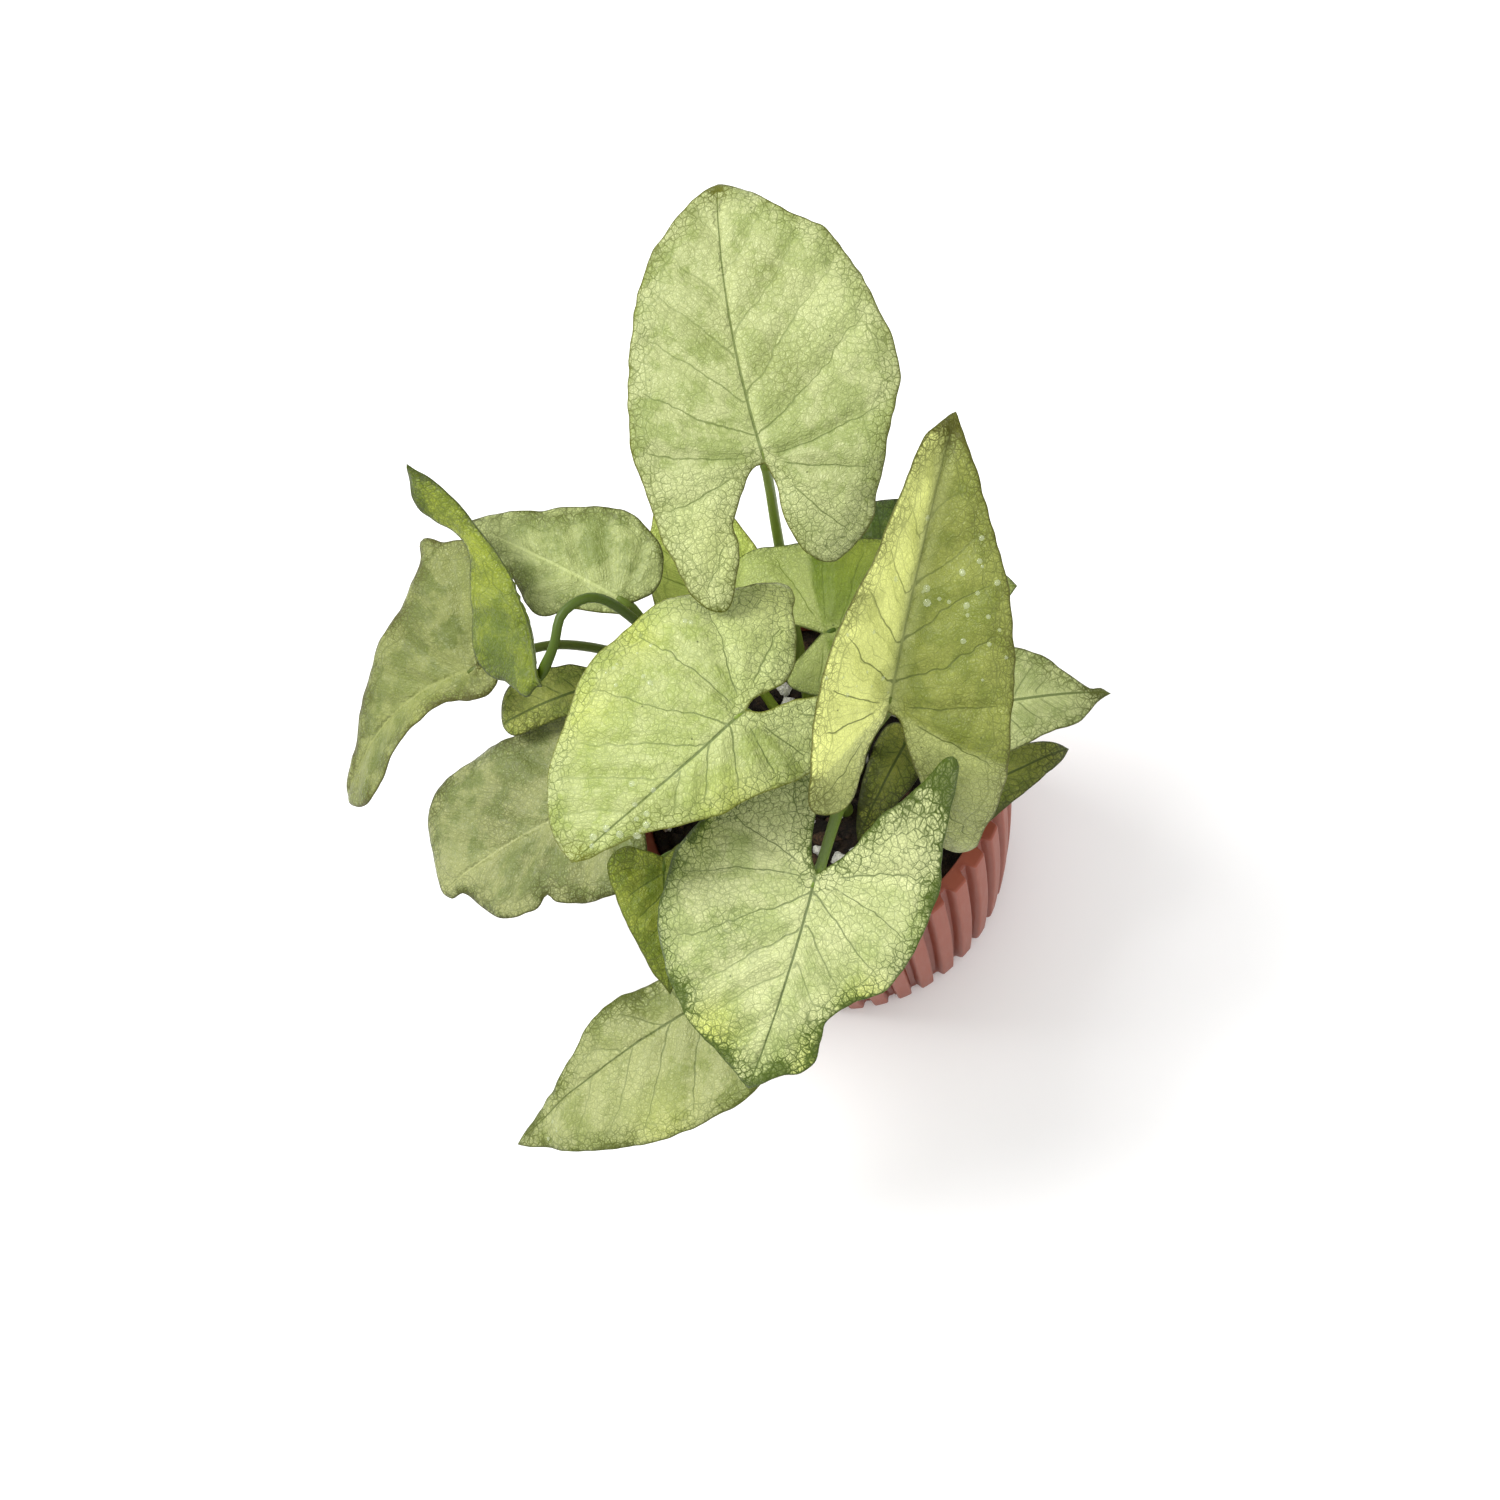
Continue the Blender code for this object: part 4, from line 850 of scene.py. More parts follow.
def resample(curve, spacing):
    """The curve again with its points nearly one spacing apart, ends kept."""
    reach = reaches(curve)
    count = max(2, round(reach[-1] / spacing))
    even = []
    i = 0
    for k in range(count + 1):
        want = reach[-1] * k / count
        while i < len(curve) - 2 and reach[i + 1] < want:
            i += 1
        share = (want - reach[i]) / max(reach[i + 1] - reach[i], 1e-9)
        even.append(curve[i].lerp(curve[i + 1], within(share)))
    return even


def half_outline(leaf, side, spacing):
    """One half of the flat blade's edge, from the tip round the lobe to the notch."""
    sign = 1 if side == "left" else -1
    points = [Vector((leaf["length"], 0.0))]
    points += [Vector((along, sign * out)) for along, out in leaf[side]]
    points.append(Vector((NOTCH, 0.0)))
    return resample(catmull_rom(points), spacing)


def uneven(outline, seed, depth):
    """The outline with the small bays and bumps of a grown margin."""
    moved = []
    for i, p in enumerate(outline):
        a, b = outline[i - 1], outline[(i + 1) % len(outline)]
        across = Vector((b.y - a.y, a.x - b.x))
        if across.length < 1e-6:
            moved.append(p)
            continue
        spot = Vector((p.x * 0.16, p.y * 0.16, seed * 7.3))
        bay = noise.noise(spot) + 0.5 * noise.noise(spot * 2.7)
        near_notch = min(1.0, (p - Vector((NOTCH, 0.0))).length / 6.0)
        near_tip = min(1.0, (p - outline[0]).length / 6.0)
        moved.append(p + across.normalized() * (depth * bay * near_notch * near_tip))
    return moved


def swayed(leaf, share):
    """How far the curved midrib lies to the left of a straight one, at a share of its length."""
    return leaf["sway"] * 4 * share * (1 - share)


def midrib_side(leaf, along):
    """The same, at a distance along the blade."""
    return swayed(leaf, within(along / leaf["length"]))


def inside_all(spots, outline):
    """Which of the spots lie inside the outline."""
    a = np.array([(p.x, p.y) for p in outline])
    b = np.roll(a, -1, axis=0)
    x, y = spots[:, 0, None], spots[:, 1, None]
    crosses = (a[:, 1] > y) != (b[:, 1] > y)
    rise = np.where(b[:, 1] == a[:, 1], 1e-9, b[:, 1] - a[:, 1])
    at = a[:, 0] + (y - a[:, 1]) * (b[:, 0] - a[:, 0]) / rise
    return (crosses & (x < at)).sum(1) % 2 == 1


def gap_to_line(spots, line, closed):
    """How far each spot lies from a line of points."""
    a = np.array([(p.x, p.y) for p in line])
    b = np.roll(a, -1, axis=0)
    if not closed:
        a, b = a[:-1], b[:-1]
    step = b - a
    p = spots[:, None, :]
    share = np.clip(((p - a) * step).sum(2) / np.maximum((step ** 2).sum(1), 1e-12), 0, 1)
    return np.sqrt(((p - a - share[..., None] * step) ** 2).sum(2)).min(1)


def flat_blade(leaf, seed, spacing, bays):
    """The flat blade as points and triangles, its edge, and each point's distance from it."""
    edge_spacing = spacing * EDGE_SPACING
    left = half_outline(leaf, "left", edge_spacing)
    right = half_outline(leaf, "right", edge_spacing)
    outline = uneven(left + right[-2:0:-1], seed, bays)
    count = round(leaf["length"] / edge_spacing)
    midrib = []
    for k in range(1, count):
        along = leaf["length"] * k / count
        midrib.append(Vector((along, midrib_side(leaf, along))))
    points = list(outline)
    edges = [(i, (i + 1) % len(outline)) for i in range(len(outline))]
    chain = [0] + list(range(len(points) + len(midrib) - 1, len(points) - 1, -1)) + [len(left) - 1]
    points += midrib
    edges += list(zip(chain, chain[1:]))
    rows = np.arange(-math.ceil(PLANE_BACK / spacing), math.ceil(PLANE_AHEAD / spacing))
    cols = np.arange(-math.ceil(PLANE_HALF / spacing), math.ceil(PLANE_HALF / spacing))
    row, col = np.meshgrid(rows, cols, indexing="ij")
    spots = np.stack([row * spacing * ROW_SPACING, (col + 0.5 * (row % 2)) * spacing], -1)
    spots = spots.reshape(-1, 2)
    spots = spots[inside_all(spots, outline)]
    middle = [outline[0]] + midrib[::-1] + [outline[len(left) - 1]]
    for line, closed in ((outline, True), (middle, False)):
        spots = spots[gap_to_line(spots, line, closed) > 0.5 * spacing]
    points += [Vector((x, y)) for x, y in spots]
    flat, _, triangles, *_ = delaunay_2d_cdt(points, edges, [], 1, 1e-5)
    places = np.array([(p.x, p.y) for p in flat])
    return flat, [list(t) for t in triangles], len(outline), gap_to_line(places, outline, True)


def blade_frame(leaf):
    """The blade's forward, left and up directions."""
    heading = math.radians(leaf["heading"])
    pitch = math.radians(leaf["pitch"])
    roll = math.radians(leaf["roll"])
    forward = Vector((math.cos(pitch) * math.cos(heading), math.cos(pitch) * math.sin(heading),
                      math.sin(pitch)))
    level = Vector((-math.sin(heading), math.cos(heading), 0.0))
    up = forward.cross(level)
    left = level * math.cos(roll) + up * math.sin(roll)
    return forward, left, up * math.cos(roll) - level * math.sin(roll)


def bend(leaf, along, out):
    """A point of the flat blade, folded, cupped, waved and arched into its real place."""
    length = leaf["length"]
    middle = midrib_side(leaf, along)
    side = 0 if out >= middle else 1
    reach = abs(out - middle)
    fold = math.radians(leaf["fold"][side]) * (1 - math.exp(-reach / CREASE_WIDTH))
    curl = math.radians(leaf["cup"][side]) * reach / CUP_REACH
    across = reach * math.cos(fold + curl / 2)
    lift = reach * math.sin(fold + curl / 2)
    turn = along / length * WAVES + WAVE_SHIFT * side
    lift += leaf["wave"] * min(reach / CUP_REACH, 1.0) ** 2 * math.sin(2 * math.pi * turn)
    if along < 0:
        lift += leaf["lobe"][side] * (-along / LOBE_REACH) ** 2
    tip = max(0.0, (along / length - 1 + TIP_REACH) / TIP_REACH)
    lift -= TIP_DROOP * tip ** 2
    arch = math.radians(leaf["arch"])
    start = arch / 2
    rate = arch / length
    angle = start - rate * along
    spine = Vector(((math.sin(start) - math.sin(angle)) / rate,
                    (math.cos(angle) - math.cos(start)) / rate))
    forward = spine.x - lift * math.sin(angle)
    height = spine.y + lift * math.cos(angle)
    left = middle + across * (1 if side == 0 else -1)
    ahead, leftward, up = blade_frame(leaf)
    return Vector(leaf["base"]) + ahead * forward + leftward * left + up * height


def vein_count(leaf, along, out):
    """Counts the side veins, so that each whole number is one. The first few leave the midrib close
    to the stalk and steeper each time; behind the stalk they fan out into the lobes."""
    length = leaf["length"]
    across = out - swayed(leaf, np.clip(along / length, 0.0, 1.0))
    reach = np.abs(across)
    bowed = along - VEIN_BOW * reach ** 2

    def slope(start):
        return FAN_SLOPE + 0.95 * (1 - np.exp(-start / (0.11 * length)))

    low, high = np.zeros_like(bowed), np.full_like(bowed, 1.3 * length)
    for _ in range(22):
        start = (low + high) / 2
        short = start + reach * slope(start) < bowed
        low, high = np.where(short, start, low), np.where(short, high, start)
    ahead = np.where(across > 0, *VEINS_AHEAD) * (start / length) ** 0.65
    behind = FAN_SLOPE * reach - bowed
    fan = -np.degrees(np.arctan2(behind, np.maximum(reach, 1e-6))) / FAN_STEP
    return np.where(behind > 0, fan, ahead)


def spots_sum(spots, along, out):
    """What some soft round spots add up to at a place."""
    total = 0.0
    for a, o, radius, strength in spots:
        total += strength * math.exp(-((along - a) ** 2 + (out - o) ** 2) / radius ** 2)
    return total


def point_normals(points, triangles):
    """Which way a surface faces at each of its points."""
    normals = [Vector((0.0, 0.0, 0.0)) for _ in points]
    for a, b, c in triangles:
        face = (points[b] - points[a]).cross(points[c] - points[a])
        for i in (a, b, c):
            normals[i] += face
    return [n.normalized() for n in normals]


def tones(look, p, count, side, drift):
    """How dark, how yellow and how bare of green a blade is at a point. The yellow also carries the
    painted light of a lit half.
    """
    dark = spots_sum(look["blots"], p.x, p.y)
    warm = spots_sum(look["warm"], p.x, p.y)
    # Painted light: a lit half is lifted towards warm_colour over its blade, fading out towards the
    # ends of the lobe.
    warm += look["lit_half"][side] * within((p.x + 15.0) / 5.0)
    bare = spots_sum(look["bare"], p.x, p.y)
    lobe = look["lobes"][side]
    if count < lobe:
        bare += 0.8 * min(1.0, (lobe - count) / 0.08)
    return [min(1.0, v) for v in (dark, warm * (1 + 0.6 * drift), bare)]


def blade_mesh(leaf, look, seed, settings):
    """The fine blade: points, faces and, for each point, its blade, veins and tone numbers."""
    spacing = settings.spacing / MM
    flat, triangles, edge_count, edge = flat_blade(leaf, seed, spacing, settings.bays / MM)
    middle = [bend(leaf, p.x, p.y) for p in flat]
    normals = point_normals(middle, triangles)
    blade, veins, tone, lifts = [], [], [], []
    along, across = np.array([p.x for p in flat]), np.array([p.y for p in flat])
    counts = vein_count(leaf, along, across)
    ahead = vein_count(leaf, along + VEIN_PROBE, across) - counts
    aside = vein_count(leaf, along, across + VEIN_PROBE) - counts
    spreads = np.minimum(VEIN_PROBE / np.maximum(np.hypot(ahead, aside), 1e-4), 40.0)
    for p, rim, count, spread in zip(flat, edge, counts, spreads):
        out = p.y - midrib_side(leaf, p.x)
        quilt = 1 - bell(abs(count - round(count)) * spread, 1.7)
        spot = Vector((p.x, p.y, seed * 11.0))
        ripple = noise.noise(spot * 0.13) * math.exp(-rim / 5.0)
        crinkle = noise.noise(spot * 0.42)
        inner = 1 - math.exp(-rim / 2.5)
        keep = 1 - bell(out, 1.2)
        lift = settings.quilt / MM * (quilt - 0.5) * inner * keep
        lift += settings.ripple / MM * ripple + settings.crinkle / MM * crinkle * inner
        lift -= GROOVE_DEPTH * bell(out, GROOVE_WIDTH) * (p.x > 0)
        lifts.append(lift)
        blade.append((p.x, out, rim))
        veins.append((count, spread))
        tone.append(tones(look, p, count, 0 if out > 0 else 1, noise.noise(spot * 0.09)))
    half = settings.thickness / MM / 2
    top, under = [], []
    for p, n, lift, (along, out, rim) in zip(middle, normals, lifts, blade):
        round_off = min(1.0, math.sqrt(max(rim, 0.02) / 0.4))
        rib = RIB_DEPTH * bell(out, RIB_WIDTH) * (1 - within(along / leaf["length"])) * (along > -0.5)
        top.append(p + n * (lift + half * round_off))
        under.append(p + n * (lift - half * round_off - rib))
    count = len(middle)
    faces = [tuple(t) for t in triangles]
    faces += [(c + count, b + count, a + count) for a, b, c in triangles]
    for i in range(edge_count):
        j = (i + 1) % edge_count
        faces.append((i, i + count, j + count, j))
    veins = [(c, s, 1.0) for c, s in veins] + [(c, s, -1.0) for c, s in veins]
    return top + under, faces, blade * 2, veins, tone * 2


def stalk_path(leaf, step):
    """The stalk's middle line, from its end in the potting mix up to the blade."""
    root = Vector((*leaf["root"], SOIL_TOP))
    first = Vector(leaf["via"][0])
    lean = (first - root).normalized()
    ahead, _, up = blade_frame(leaf)
    rise = math.radians(leaf["arch"] / 2)
    along = ahead * math.cos(rise) + up * math.sin(rise)
    base = Vector(leaf["base"])
    points = [root - lean * STALK_DEPTH, root + lean * STALK_STRAIGHT]
    points += [Vector(p) for p in leaf["via"]]
    points += [base - up * 1.0 - along * 0.4]
    path = resample(catmull_rom(points), step)
    if (path[-1] - path[-2]).dot(along) > 0:
        end = base + along * STALK_REACH_INTO_BLADE - up * 0.1
        path += resample([path[-1], base - up * 0.35 + along * 0.8, end], 0.8)[1:]
    else:
        path[-1] = base - up * 0.3
    return path


def tube(path, radii, sides, start):
    """A closed tube along a path: points, faces, and each point's place along and around it."""
    points, around = [], []
    normal = None
    for i, (p, radius, reach) in enumerate(zip(path, radii, reaches(path))):
        ahead = (path[min(i + 1, len(path) - 1)] - path[max(i - 1, 0)]).normalized()
        if normal is None:
            normal = ahead.orthogonal().normalized()
        normal = (normal - ahead * normal.dot(ahead)).normalized()
        other = ahead.cross(normal)
        for k in range(sides):
            turn = 2 * math.pi * k / sides
            points.append(p + (normal * math.cos(turn) + other * math.sin(turn)) * radius)
            around.append((reach, min(turn, 2 * math.pi - turn), i / (len(path) - 1)))
    faces = [tuple(start + k for k in range(sides))[::-1]] + bands(start, len(path), sides)
    last = start + (len(path) - 1) * sides
    faces.append(tuple(last + k for k in range(sides)))
    return points, faces, around


def stalk_radii(leaf, path):
    """Thick and sheathed at the foot, thinning upwards, with a slight swelling below the blade."""
    radii = []
    reach = reaches(path)
    end = STALK_NECK_RADIUS * 0.7
    for at in reach:
        share = at / reach[-1]
        radius = leaf["radius"] * (1 - share) + STALK_TOP_RADIUS * share
        left = reach[-1] - at
        for off, (height, place, width) in ((at, SHEATH), (left, COLLAR)):
            radius += height * bell(off - place, width)
        if left < NECK_LENGTH:
            radius = end + (radius - end) * left / NECK_LENGTH
        radii.append(radius)
    return radii


def full_look(leaf):
    """A leaf's look, with what its own entry leaves out."""
    own = LOOKS[leaf["name"]]
    pale = brighter(own["cream"], 1.06, 6)
    return {**PLAIN_LOOK, "pale": pale, "length": leaf["length"], **own}


def make_leaf(leaf, seed, settings):
    """One leaf with its stalk, in place of its plain solid."""
    look = full_look(leaf)
    points, faces, blade, veins, tone = blade_mesh(leaf, look, seed, settings)
    blades = len(faces)
    path = stalk_path(leaf, settings.stalk_step / MM)
    more, sides, around = tube(path, stalk_radii(leaf, path), STALK_SIDES, len(points))
    points += more
    faces += sides
    blade += around
    veins += [(0.0, 1.0, 0.0)] * len(more)
    tone += [(0.0, 0.0, 0.0)] * len(more)
    materials = [blade_skin(leaf["name"] + "_blade", look, seed),
                 stalk_skin(leaf["name"] + "_stalk", look, seed)]
    piece = mesh_piece("fine_" + leaf["name"], points, faces, materials)
    slots = [0] * blades + [1] * (len(faces) - blades)
    piece.data.polygons.foreach_set("material_index", slots)
    store(piece.data, "blade", blade)
    store(piece.data, "veins", veins)
    store(piece.data, "tone", tone)
    outward(piece)
    settle(piece, leaf["name"])


def make_dew(leaf, seed):
    """Drops of water that lie on a leaf's upper face, as low domes."""
    chance = random.Random(41 + seed)
    blade = bpy.data.objects["fine_" + leaf["name"]].data
    corners = [v.co / MM for v in blade.vertices]
    surface = BVHTree.FromPolygons(corners, [p.vertices[:] for p in blade.polygons])
    points, faces = [], []
    for count, along, out, reach, size in full_look(leaf)["dew"]:
        for _ in range(count):
            u = along + chance.gauss(0, reach * DROP_SCATTER)
            v = out + chance.gauss(0, reach * DROP_SCATTER)
            radius = size * chance.uniform(*DROP_SIZES)
            p = bend(leaf, u, v)
            ahead = (bend(leaf, u + 0.3, v) - p).normalized()
            aside = (bend(leaf, u, v + 0.3) - p).normalized()
            up = ahead.cross(aside).normalized()
            place, slope, _, _ = surface.ray_cast(p + up * 3.0, -up, 5.0)
            if place is None or slope.dot(up) < 0.7:
                continue
            up = slope.normalized()
            ahead = (ahead - up * ahead.dot(up)).normalized()
            aside = up.cross(ahead)
            place = place - up * DROP_SUNK
            start = len(points)
            for ring in range(DROP_RINGS):
                tilt = math.pi / 2 * ring / DROP_RINGS
                flat = radius * math.cos(tilt)
                rise = up * (radius * DROP_RISE * math.sin(tilt))
                for x, y, _ in circle(1.0, 0.0, DROP_SIDES):
                    points.append(place + (ahead * x + aside * y) * flat + rise)
            points.append(place + up * (radius * DROP_RISE))
            faces += bands(start, DROP_RINGS, DROP_SIDES)
            last = start + (DROP_RINGS - 1) * DROP_SIDES
            for k in range(DROP_SIDES):
                faces.append((last + k, last + (k + 1) % DROP_SIDES, last + DROP_SIDES))
            faces.append(tuple(start + k for k in range(DROP_SIDES))[::-1])
    return points, faces


def rib_fall(share):
    """0 on a rib's crest and 1 at the bottom of the groove, with rounded shoulders."""
    away = abs(share - 0.5) * 2
    t = within((away - FLUTE_CREST) / (1 - FLUTE_GROOVE - FLUTE_CREST))
    return t * t * (3 - 2 * t)


def wall_radius(settings, height):
    """The pot's radius over its ribs."""
    share = height / (settings.height / MM)
    base, rim = settings.base_radius / MM, settings.rim_radius / MM
    return base + (rim - base) * share + settings.belly / MM * 4 * share * (1 - share)


def make_pot(settings):
    """The fluted wall with rounded ribs, a rolled rim, the smooth inside and the floor."""
    around = settings.ribs * FLUTE_POINTS
    tall = settings.height / MM
    depth = settings.rib_depth / MM
    bore, bore_base = settings.bore_radius / MM, settings.bore_base_radius / MM
    # Rings up the outside, over the rim and down the inside, each with its height, its radius, the
    # depth of its grooves and how much of the grooves' shade it shows.
    rings = []
    foot = [(0.0, 2.30, 0.0), (0.0, 2.0, 0.0), (0.12, 1.72, 0.08), (0.42, 1.30, 0.2),
            (0.9, 0.80, 0.45), (1.5, 0.36, 0.75), (2.2, 0.08, 0.95), (2.9, 0.0, 1.0)]
    for height, back, share in foot:
        rings.append((height, wall_radius(settings, height) - back, depth * share, 1.0))
    for k in range(1, 21):
        height = 2.9 + (tall - 0.7 - 2.9) * k / 20
        rings.append((height, wall_radius(settings, height), depth, 1.0))
    for drop, back in ((0.42, 0.04), (0.2, 0.14), (0.06, 0.32), (0.0, 0.55)):
        rings.append((tall - drop, wall_radius(settings, tall) - back, depth, 1.0))
    rings.append((tall, bore + 0.9, 0.35, 0.6))
    outside = len(rings)
    rings.append((tall, bore + 0.42, 0.0, 0.0))
    for drop, out in ((0.05, 0.2), (0.2, 0.06), (0.5, 0.0)):
        rings.append((tall - drop, bore + out, 0.0, 0.0))
    for height in (tall - 3, tall - 7, tall - 11, tall * 0.6, tall * 0.3, POT_FLOOR):
        share = (height - POT_FLOOR) / (tall - POT_FLOOR)
        rings.append((height, bore_base + (bore - bore_base) * share, 0.0, 0.0))
    points, wall = [], []
    for i, (height, radius, cut, ribbed) in enumerate(rings):
        inside = 0.0 if i < outside else min(1.0, (tall - height) / 3.0)
        for k in range(around):
            fall = rib_fall(k % FLUTE_POINTS / FLUTE_POINTS)
            turn = 2 * math.pi * (k / FLUTE_POINTS) / settings.ribs
            r = radius - cut * fall
            points.append((r * math.cos(turn), r * math.sin(turn), height))
            wall.append((fall * ribbed, inside, height))
    faces = bands(0, len(rings), around)
    top = (len(rings) - 1) * around
    faces += [(top + k, top + (k + 1) % around, (k + 1) % around, k) for k in range(around)]
    skin = pot_skin(tuple(settings.colour))
    pot = mesh_piece("fine_pot", points, faces, [skin])
    store(pot.data, "wall", wall)
    outward(pot)
    pot.data.set_sharp_from_angle(angle=math.radians(60))
    settle(pot, "pot")

    floor = disc("fine_pot_floor", settings.base_radius / MM - 2.35, 0.0, POT_FLOOR, skin)
    for place in circle(DRAIN_REACH * MM, 0.0, 4, 0.5):
        cutter = disc("drain", DRAIN_RADIUS, -2.0, 5.0, skin, 48)
        cutter.location = place
        cut_away(floor, cutter)
    floor.data.shade_smooth()
    floor.data.set_sharp_from_angle(angle=math.radians(35))
    settle(floor, "pot")


def disc(name, radius, low, high, skin, sides=160):
    """A round plate from its radius and its two heights."""
    points = circle(radius, low, sides) + circle(radius, high, sides)
    faces = [tuple(range(sides))[::-1], tuple(range(sides, 2 * sides))] + bands(0, 2, sides)
    piece = mesh_piece(name, points, faces, [skin])
    outward(piece)
    return piece


def cut_away(piece, cutter):
    """Cuts one piece out of another and removes the cutter."""
    change = piece.modifiers.new("cut", "BOOLEAN")
    change.operation = "DIFFERENCE"
    change.solver = "EXACT"
    change.object = cutter
    graph = bpy.context.evaluated_depsgraph_get()
    graph.update()
    made = bpy.data.meshes.new_from_object(piece.evaluated_get(graph))
    piece.modifiers.clear()
    piece.data = made
    bpy.data.objects.remove(cutter, do_unlink=True)


def soil_height(x, y):
    """The potting mix lies in low lumps and a little higher in the middle, with a loose crumb."""
    lumps = math.sin(0.31 * x + 1.3) * math.cos(0.27 * y - 0.6) + 0.6 * math.sin(0.53 * y + 0.41 * x)
    height = SOIL_TOP + SOIL_LUMP * lumps - 0.0012 * (x * x + y * y)
    spot = Vector((x, y, 3.0))
    for depth, fineness in ((0.55, 0.45), (0.34, 1.1), (0.16, 2.3)):
        height += depth * noise.noise(spot * fineness)
    return height


def make_soil(settings):
    """The plug of potting mix, with a crumbly top."""
    edge = settings.radius / MM
    rings, around = 46, 200
    points = [(0.0, 0.0, soil_height(0.0, 0.0))]
    for ring in range(1, rings + 1):
        drop = 0.5 if ring == rings else 0.0
        for x, y, _ in circle(edge * ring / rings, 0.0, around, 0.5 * (ring % 2)):
            points.append((x, y, soil_height(x, y) - drop))
    points += circle(edge - 1.7, 30.0, around) + circle(edge - 4.2, 2.9, around)
    faces = [(0, 1 + k, 1 + (k + 1) % around) for k in range(around)]
    for ring in range(rings + 1):
        a, b = 1 + ring * around, 1 + (ring + 1) * around
        for k in range(around):
            n = (k + 1) % around
            faces.append((a + k, b + k, b + n, a + n))
    last = 1 + (rings + 1) * around
    faces.append(tuple(last + k for k in range(around))[::-1])
    soil = mesh_piece("fine_soil", points, faces, [mix_skin(tuple(settings.colour))])
    outward(soil)
    settle(soil, "soil")


def spun(chance, axis):
    """A turn by any angle about an axis."""
    return Matrix.Rotation(chance.uniform(0, 6.28), 3, axis)


def grains(name, count, sizes, stretch, rough, skin, chance, spread, sink):
    """Loose grains on the potting mix, all in one piece: rough balls or stretched chips."""
    ball = bmesh.new()
    bmesh.ops.create_icosphere(ball, subdivisions=2, radius=1.0)
    corners = [v.co.copy() for v in ball.verts]
    sides = [[v.index for v in f.verts] for f in ball.faces]
    ball.free()
    points, faces = [], []
    for k in range(count):
        reach = spread * math.sqrt(chance.random())
        turn = chance.uniform(0, 2 * math.pi)
        x, y = reach * math.cos(turn), reach * math.sin(turn)
        size = chance.uniform(*sizes)
        shape = Matrix.Diagonal((1.0, chance.uniform(*stretch), chance.uniform(0.55, 0.9)))
        tilt = Matrix.Rotation(chance.uniform(-0.6, 0.6), 3, "X")
        spin = spun(chance, "Z") @ tilt @ spun(chance, "Y")
        if stretch[1] < 0.8:
            spin = spun(chance, "Z") @ tilt
        middle = Vector((x, y, soil_height(x, y) + size * sink))
        start = len(points)
        for corner in corners:
            push = 1 + rough * noise.noise(corner * 1.6 + Vector((k * 3.1, 0, 0)))
            points.append(middle + spin @ (shape @ (corner * push)) * size)
        faces += [[start + i for i in side] for side in sides]
    piece = mesh_piece(name, points, faces, [skin])
    settle(piece, "soil")


def make_grit(settings):
    """Perlite, bark chips and crumbs that lie on the mix."""
    chance = random.Random(7)
    spread = settings.radius / MM - 2.6
    for name, count, sizes, stretch, rough, skin, sink in (
        ("perlite_grains", settings.perlite, (0.7, 1.9), (0.75, 1.0), 0.75,
         perlite_skin(tuple(settings.perlite_colour)), 0.25),
        ("bark_chips", settings.bark, (1.3, 3.0), (0.28, 0.6), 0.6, bark_skin(), 0.12),
        ("soil_crumbs", settings.crumbs, (0.5, 1.5), (0.8, 1.0), 0.9,
         bpy.data.materials["potting_mix"], 0.2),
    ):
        grains(name, count, sizes, stretch, rough, skin, chance, spread, sink)


def make_stage(settings):
    """The pale floor, soft light from above, and the camera."""
    scene = bpy.context.scene
    floor = bpy.data.objects.new("floor", bpy.data.meshes.new("floor"))
    reach = settings.floor_size / 2
    corners = [(x * reach, y * reach, 0.0) for x, y in ((-1, -1), (1, -1), (1, 1), (-1, 1))]
    floor.data.from_pydata(corners, [], [(0, 1, 2, 3)])
    skin = Skin("floor_paper")
    tint = skin.cloud(skin.place(), 0.004, 1.0)
    darker = [0.985 * part for part in settings.floor_colour]
    shade = skin.mixed(tint, (*settings.floor_colour, 1.0), (*darker, 1.0))
    skin.shine(Base_Color=shade, Roughness=0.9, Specular_IOR_Level=0.1)
    floor.data.materials.append(skin.material)
    scene.collection.objects.link(floor)

    world = bpy.data.worlds.new("sky")
    world.use_nodes = True
    background = world.node_tree.nodes["Background"]
    background.inputs["Color"].default_value = (*settings.sky_colour, 1.0)
    background.inputs["Strength"].default_value = settings.sky
    scene.world = world
    for name, place, size, power in (
        ("window_light", (-0.62, 0.18, 0.98), 0.6, settings.key),
        ("fill_light", (0.75, -0.5, 0.8), 0.9, settings.fill),
    ):
        lamp = bpy.data.lights.new(name, "AREA")
        lamp.size = size
        lamp.energy = power
        holder = bpy.data.objects.new(name, lamp)
        holder.location = place
        toward = Vector((0.0, 0.0, 0.08)) - Vector(place)
        holder.rotation_euler = toward.to_track_quat("-Z", "Y").to_euler()
        scene.collection.objects.link(holder)

    view = bpy.data.cameras.new("camera")
    view.lens = settings.lens
    view.sensor_width = 36.0
    view.clip_start = 0.01
    view.dof.use_dof = False
    camera = bpy.data.objects.new("camera", view)
    rise, turn, roll = settings.rise, settings.turn, settings.roll
    back = Vector((math.sin(turn) * math.cos(rise), -math.cos(turn) * math.cos(rise), math.sin(rise)))
    level = Vector((math.cos(turn), math.sin(turn), 0.0))
    rising = back.cross(level)
    right = level * math.cos(roll) - rising * math.sin(roll)
    up = rising * math.cos(roll) + level * math.sin(roll)
    stand = Vector(settings.target) + back * settings.distance
    camera.matrix_world = Matrix((
        (right.x, up.x, back.x, stand.x),
        (right.y, up.y, back.y, stand.y),
        (right.z, up.z, back.z, stand.z),
        (0.0, 0.0, 0.0, 1.0),
    ))
    scene.collection.objects.link(camera)
    bpy.context.scene.camera = camera
    scene.view_settings.view_transform = "Standard"
    scene.view_settings.look = "None"


def number_value(name, description, default, low=0.0, **more):
    return bpy.props.FloatProperty(name=name, description=description, default=default, min=low,
                                   **more)


